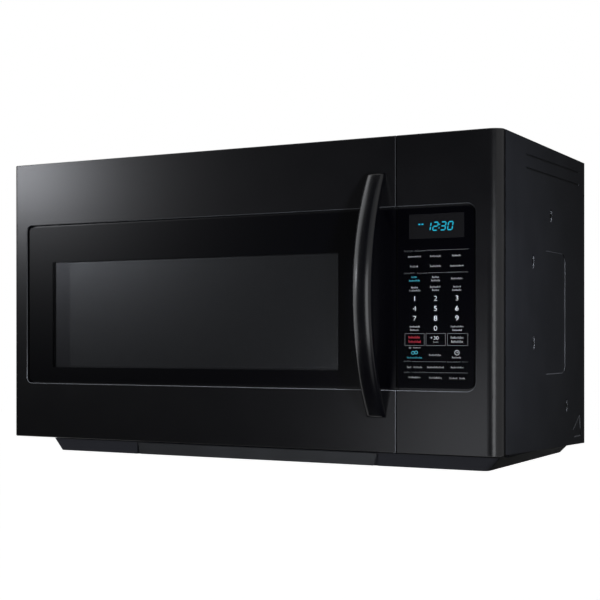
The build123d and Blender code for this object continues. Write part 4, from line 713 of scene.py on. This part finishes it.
# Key labels are rows of plain ticks of uneven height. Each row is its first and last x and the
# height of its middle.
tickSpec = {"pitch": 1.5, "wide": 0.5, "heights": (1.0, 0.7, 0.7, 0.95, 0.7, 0.7, 0.95, 0.7)}
labelSpecs = {
    "headingTicks": {"ink": "greyInk", "height": 1.7, "rows": (
        (250, 262.5, 255.4), (265, 280, 255.2), (250, 265.5, 227.4), (268, 281.4, 227.2),
        (250, 259.6, 116.4), (308.1, 326, 115.9), (250, 258.9, 102.4))},
    "keyTicks": {"ink": "whiteInk", "height": 2.3, "rows": (
        (255.5, 273.2, 248.2), (285.4, 300.2, 248.1), (314.8, 326.7, 248.1),
        (258.3, 269.2, 235.9), (285.4, 300.2, 235.6), (312.1, 329.9, 235.4),
        (288.1, 297.5, 221.8), (286.7, 298.8, 217.7), (313.5, 328.6, 219.6),
        (259.6, 269.2, 209.2), (256.9, 272.6, 205.5), (285.4, 299.5, 209.7), (288.1, 297.5, 205.6),
        (316.1, 326.7, 209.4), (314.8, 327.3, 205.3),
        (257.6, 271.9, 159.9), (258.3, 270.5, 155.7), (312.8, 329.9, 159.9), (315.2, 328, 155.5),
        (284.1, 300.2, 124.4), (314.8, 326.7, 121.4),
        (254.1, 260, 109), (263, 274.6, 109), (281.8, 303.9, 109), (313.2, 329.9, 109.1),
        (256.2, 272.6, 96.1), (284.1, 301.2, 95.9), (311.2, 322, 95.7), (324.5, 331.9, 95.7))},
    "smallTicks": {"ink": "whiteInk", "height": 1.7, "rows": ((262.4, 272.6, 133.4), (289.4, 296.8, 140.6))},
    "startTicks": {"ink": "whiteInk", "height": 3.2, "rows": ((312.8, 329.9, 146.2), (313.5, 329.3, 141.2))},
    "stopTicks": {"ink": "redInk", "height": 3.4, "rows": ((255.9, 271.9, 146.6), (255.9, 273.2, 141.2))},
    "cyanTicks": {"ink": "cyanInk", "height": 2.3, "rows": (
        (260, 267.5, 222.4), (256.9, 271.9, 218), (254.1, 274.6, 120.9))},
}


def tickRows(name, spec):
    # The ticks of a row share its length evenly and stand on one foot.
    bars = []
    for low, high, z in spec["rows"]:
        count = max(2, round((high - low) / tickSpec["pitch"]))
        x = low + (np.arange(count) + 0.5) * (high - low) / count
        tall = spec["height"] * np.resize(tickSpec["heights"], count)
        bars.append(np.column_stack([x, z - spec["height"] / 2 + tall / 2, np.full(count, tickSpec["wide"]), tall]))
    flatBars(name, np.concatenate(bars), inks[spec["ink"]])


for name, spec in labelSpecs.items():
    tickRows(name, spec)

# Marks on and under the keys: digits as text, x, z; bars as x, z, width, height; rings as x, z,
# radius, line.
markSpec = {
    "plusDigits": [("30", 293.4, 145.4)], "plusHeight": 6.4,
    "plusMark": [(287.4, 146.0, 2.6, 0.8), (287.4, 146.0, 0.8, 2.6)],
    "clockRing": [(321.4, 127.4, 2.9, 0.7)],
    "clockHands": [(321.4, 128.2, 0.6, 2.2), (322.1, 127.3, 1.8, 0.6)],
    "cyanRings": [(262.3, 126.9, 1.9, 0.7), (266.6, 127.4, 1.9, 0.7)],
    "lockMark": [(258.3, 133.2, 3.0, 2.2)],
}
printedDigits("plusDigits", markSpec["plusDigits"], markSpec["plusHeight"], inks["digitInk"])
flatBars("plusMark", markSpec["plusMark"], inks["whiteInk"])
ringMarks("clockRing", markSpec["clockRing"], inks["whiteInk"])
flatBars("clockHands", markSpec["clockHands"], inks["whiteInk"])
ringMarks("cyanRings", markSpec["cyanRings"], inks["cyanInk"])
flatBars("lockMark", markSpec["lockMark"], inks["greyInk"])
print("panel prints made")


# Clock digits built from slanted segments, as a vacuum fluorescent display draws them. Segments
# a, g and d lie from top to foot, f and e stand on the left, b and c on the right.
clockSpec = {
    "text": "12:30", "places": (283.2, 292.8, 297.9, 303.2, 312.6), "z": 285.3, "digitWidth": 6.0,
    "height": 10.0, "stroke": 1.35, "gap": 0.25, "slant": 0.17, "dots": (2.1, -2.3),
    "segments": {"1": "bc", "2": "abged", "3": "abgcd", "0": "abcdef"},
    "sideMark": [(271.0, 288.4, 2.6, 1.5), (275.2, 288.4, 2.6, 1.5)],
}


def clockDigits(spec):
    # A segment is a slim six-sided bar along its line: its tips stand a gap in from the line's
    # ends, and its shoulders half a stroke further in and half a stroke to each side. The
    # slant shifts every point sideways by its height above the middle.
    w, h, s = spec["digitWidth"] / 2, spec["height"] / 2, spec["stroke"] / 2
    lines = {"a": (-w, h, w, h), "g": (-w, 0, w, 0), "d": (-w, -h, w, -h), "b": (w, 0, w, h),
             "c": (w, -h, w, 0), "f": (-w, 0, -w, h), "e": (-w, -h, -w, 0)}
    used = [(key, cx) for text, cx in zip(spec["text"], spec["places"]) for key in spec["segments"].get(text, "")]
    bars = np.array([np.add(lines[key], (cx, 0, cx, 0)) for key, cx in used])[:, None]
    starts, ends = bars[..., :2], bars[..., 2:]
    along = (ends - starts) / np.linalg.norm(ends - starts, axis=-1, keepdims=True)
    side = along[..., ::-1] * (1, -1)
    inward = np.array([0, s, s, 0, s, s])[:, None] + spec["gap"]
    outward = np.array([0, s, s, 0, -s, -s])[:, None]
    fromStart = np.array([True, True, False, False, False, True])[:, None]
    corners = np.where(fromStart, starts + inward * along, ends - inward * along) + outward * side
    colonX = spec["places"][spec["text"].index(":")]
    dots = np.array([(colonX, z) for z in spec["dots"]])[:, None] + s * square
    first = corners.shape[0] * 6
    faces = np.arange(first).reshape(-1, 6).tolist() + (first + np.arange(8).reshape(-1, 4)).tolist()
    corners = np.concatenate([corners.reshape(-1, 2), dots.reshape(-1, 2)])
    corners = np.column_stack([corners[:, 0] + spec["slant"] * corners[:, 1], spec["z"] + corners[:, 1]])
    printedPiece("clockDigits", corners, faces, inks["cyanDisplayLight"])
    flatBars("clockSideMark", spec["sideMark"], inks["cyanDisplayLight"])


clockDigits(clockSpec)
print("clock made")


def seenDirectly(tree):
    # 1 for rays from the camera, from a glossy surface or through glass, 0 for plain light.
    path = addNode(tree, "ShaderNodeLightPath").outputs
    seen = addNode(tree, "ShaderNodeMath", {"operation": "MAXIMUM"},
                   {0: path["Is Camera Ray"], 1: path["Is Glossy Ray"]}).outputs[0]
    return addNode(tree, "ShaderNodeMath", {"operation": "MAXIMUM"},
                   {0: seen, 1: path["Is Transmission Ray"]}).outputs[0]


# A floor of matt white paper at cooktop height. Its glow is only seen, and lights nothing.
floorSpec = {"level": -1.0, "half": 14.0, "tone": "#fbfbfb", "glow": 0.56}


def makeFloor(spec):
    material, tree, coords = newMaterial("whitePaperFloor")
    fibres = addNode(tree, "ShaderNodeTexNoise", {"Scale": 1 / (3 * mm)}, {"Vector": coords["Object"]})
    relief = addNode(tree, "ShaderNodeBump", {"Distance": 0.05 * mm}, {"Height": fibres.outputs["Fac"]})
    settings = {"Base Color": linear(spec["tone"]), "Roughness": 0.9, "Specular IOR Level": 0.1}
    paper = addNode(tree, "ShaderNodeBsdfPrincipled", settings, {"Normal": relief.outputs["Normal"]})
    glow = addNode(tree, "ShaderNodeEmission", {"Color": (1, 1, 1, 1), "Strength": spec["glow"]})
    dark = addNode(tree, "ShaderNodeEmission", {"Strength": 0.0})
    extra = addNode(tree, "ShaderNodeMixShader", {}, {0: seenDirectly(tree), 1: dark.outputs[0], 2: glow.outputs[0]})
    both = addNode(tree, "ShaderNodeAddShader", {}, {0: paper.outputs["BSDF"], 1: extra.outputs[0]})
    addNode(tree, "ShaderNodeOutputMaterial", {}, {"Surface": both.outputs[0]})
    corners = np.column_stack([square * spec["half"], np.full(4, spec["level"])])
    floor = meshObject("floor", corners, [(0, 1, 2, 3)], material)


# An even white world, dimmer as a light than it looks.
worldSpec = {"seen": 1.0, "lighting": 0.45}


def makeWorld(spec):
    world = bpy.data.worlds.new("studio")
    world.use_nodes = True
    tree = world.node_tree
    tree.nodes.clear()
    seen = addNode(tree, "ShaderNodeBackground", {"Color": (1, 1, 1, 1), "Strength": spec["seen"]})
    light = addNode(tree, "ShaderNodeBackground", {"Color": (1, 1, 1, 1), "Strength": spec["lighting"]})
    mixed = addNode(tree, "ShaderNodeMixShader", {}, {0: seenDirectly(tree), 1: light.outputs[0], 2: seen.outputs[0]})
    addNode(tree, "ShaderNodeOutputWorld", {}, {"Surface": mixed.outputs[0]})
    bpy.context.scene.world = world


# Dark studio cards stand round the front and left and lie on the floor, out of the camera's
# sight: gloss black needs something dark to reflect. Only reflections see them. Angles in
# degrees, from the front towards the right and up; lengths in metres.
cardLayout = {"y": -0.3, "z": 0.1, "columns": 40, "rows": 20, "floorColumns": 60}
cardSpecs = {
    "darkCardFront": {"radius": 3.5, "from": -58.0, "to": 42.0, "low": -16.0, "high": 68.0, "tone": 0.04},
    "darkCardLeft": {"radius": 3.5, "from": -178.0, "to": -58.0, "low": -16.0, "high": 44.0, "tone": 0.04},
    "darkCardRear": {"radius": 3.5, "from": 120.0, "to": 180.0, "low": -16.0, "high": 62.0, "tone": 0.03},
}
floorCardSpecs = {
    "darkFloorCardFront": {"inner": 0.5, "outer": 3.5, "from": -75.0, "to": 100.0, "level": -0.98, "tone": 0.03},
    "darkFloorCardRear": {"inner": 0.9, "outer": 3.5, "from": 100.0, "to": 215.0, "level": -0.98, "tone": 0.03},
}


def makeCard(name, flat, turn, height, tone):
    # One even glow over a grid: a point stands as far out as flat says, turned round the
    # cards' centre from the front, at its height.
    x, y = flat * np.sin(turn), cardLayout["y"] - flat * np.cos(turn)
    rows = np.stack([x, y, np.broadcast_to(height, x.shape)], -1)
    material, tree, coords = newMaterial(name)
    glow = addNode(tree, "ShaderNodeEmission", {"Color": (1, 1, 1, 1), "Strength": tone})
    addNode(tree, "ShaderNodeOutputMaterial", {}, {"Surface": glow.outputs[0]})
    faces = gridFaces(*rows.shape[:2], closeColumns=False).tolist()
    card = meshObject(name, rows.reshape(-1, 3), faces, material)
    for rays in ("camera", "diffuse", "transmission", "shadow"):
        setattr(card, "visible_" + rays, False)


def makeCards(specs, floorSpecs):
    # A wall card is part of a sphere by azimuth and elevation, a floor card part of a flat ring.
    for name, spec in specs.items():
        turn = np.radians(np.linspace(spec["from"], spec["to"], cardLayout["columns"]))[None, :]
        rise = np.radians(np.linspace(spec["low"], spec["high"], cardLayout["rows"]))[:, None]
        height = cardLayout["z"] + spec["radius"] * np.sin(rise)
        makeCard(name, spec["radius"] * np.cos(rise), turn, height, spec["tone"])
    for name, spec in floorSpecs.items():
        turn = np.radians(np.linspace(spec["from"], spec["to"], cardLayout["floorColumns"]))[None, :]
        reach = np.array([[spec["inner"]], [spec["outer"]]])
        makeCard(name, reach, turn, spec["level"], spec["tone"])


# Lamps: each is aimed at a point of the oven; power in watts. Their light is coolTint unless they
# say otherwise. only names the pieces that a lamp lights, never those that it leaves out.
coolTint = (0.95, 0.97, 1.0)
lampSpecs = {
    "softboxMain": {"place": (-2.322, -2.617, 0.79), "aim": (-0.38, -0.367, 0.38), "size": (0.25, 0.25),
                    "power": 13.6, "tint": (0.92, 0.94, 1.0)},
    "softboxLow": {"place": (-0.587, -3.213, -0.337), "aim": (0.3, -0.367, 0.0), "size": (0.75, 0.75),
                   "power": 6.0, "tint": (0.92, 0.94, 1.0), "never": (handle,)},
    "softboxRight": {"place": (1.297, -2.469, -0.255), "aim": (0.38, -0.36, -0.255), "size": (0.73, 1.39),
                     "power": 22.0, "never": (handle, nodes["base_pan"])},
    "tallBoxLeft": {"place": (-1.797, -1.305, 1.49), "aim": (0.2127, -0.41, 1.49), "size": (1.8, 4.2),
                    "power": 78.0, "only": (handle,)},
    "stripRight": {"place": (1.108, -2.42, 0.03), "aim": (0.2127, -0.41, 0.03), "size": (1.34, 1.45),
                   "power": 30.0, "only": (handle,)},
    "tallStripRight": {"place": (0.701, -1.506, 0.66), "aim": (0.2127, -0.41, 0.66), "size": (0.73, 3.2),
                       "power": 5.2, "only": (handle,)},
    "rearBox": {"place": (1.9, 1.9, 0.8), "aim": (0.0, 0.0, 0.2), "size": (2.0, 2.0), "power": 26.0,
                "tint": (1.0, 1.0, 1.0), "only": (nodes["rear_plate"],)},
    "sideGrid": {"place": (1.3, -1.2, 0.2), "aim": (0.38, -0.5, 0.2), "size": (0.2, 0.2), "power": 2.2,
                 "tint": (0.92, 0.94, 1.0), "spread": 34.0, "glossy": False, "never": (nodes["base_pan"],)},
}


def makeLamps(specs):
    for name, spec in specs.items():
        data = bpy.data.lights.new(name, "AREA")
        data.shape = "RECTANGLE"
        data.size, data.size_y = spec["size"]
        data.energy = spec["power"]
        data.color = spec.get("tint", coolTint)
        data.spread = math.radians(spec.get("spread", 180.0))
        lamp = bpy.data.objects.new(name, data)
        lamp.location = spec["place"]
        lamp.rotation_euler = (Vector(spec["aim"]) - Vector(spec["place"])).to_track_quat("-Z", "Y").to_euler()
        lamp.visible_camera = False
        lamp.visible_glossy = spec.get("glossy", True)
        bpy.context.scene.collection.objects.link(lamp)
        if "only" in spec or "never" in spec:
            receivers = bpy.data.collections.new(name + "Receivers")
            for piece in spec.get("only", spec.get("never")):
                receivers.objects.link(piece)
            lamp.light_linking.receiver_collection = receivers
            for entry in receivers.collection_objects if "never" in spec else []:
                entry.light_linking.link_state = "EXCLUDE"


makeFloor(floorSpec)
makeWorld(worldSpec)
makeCards(cardSpecs, floorCardSpecs)
makeLamps(lampSpecs)
print("room made")
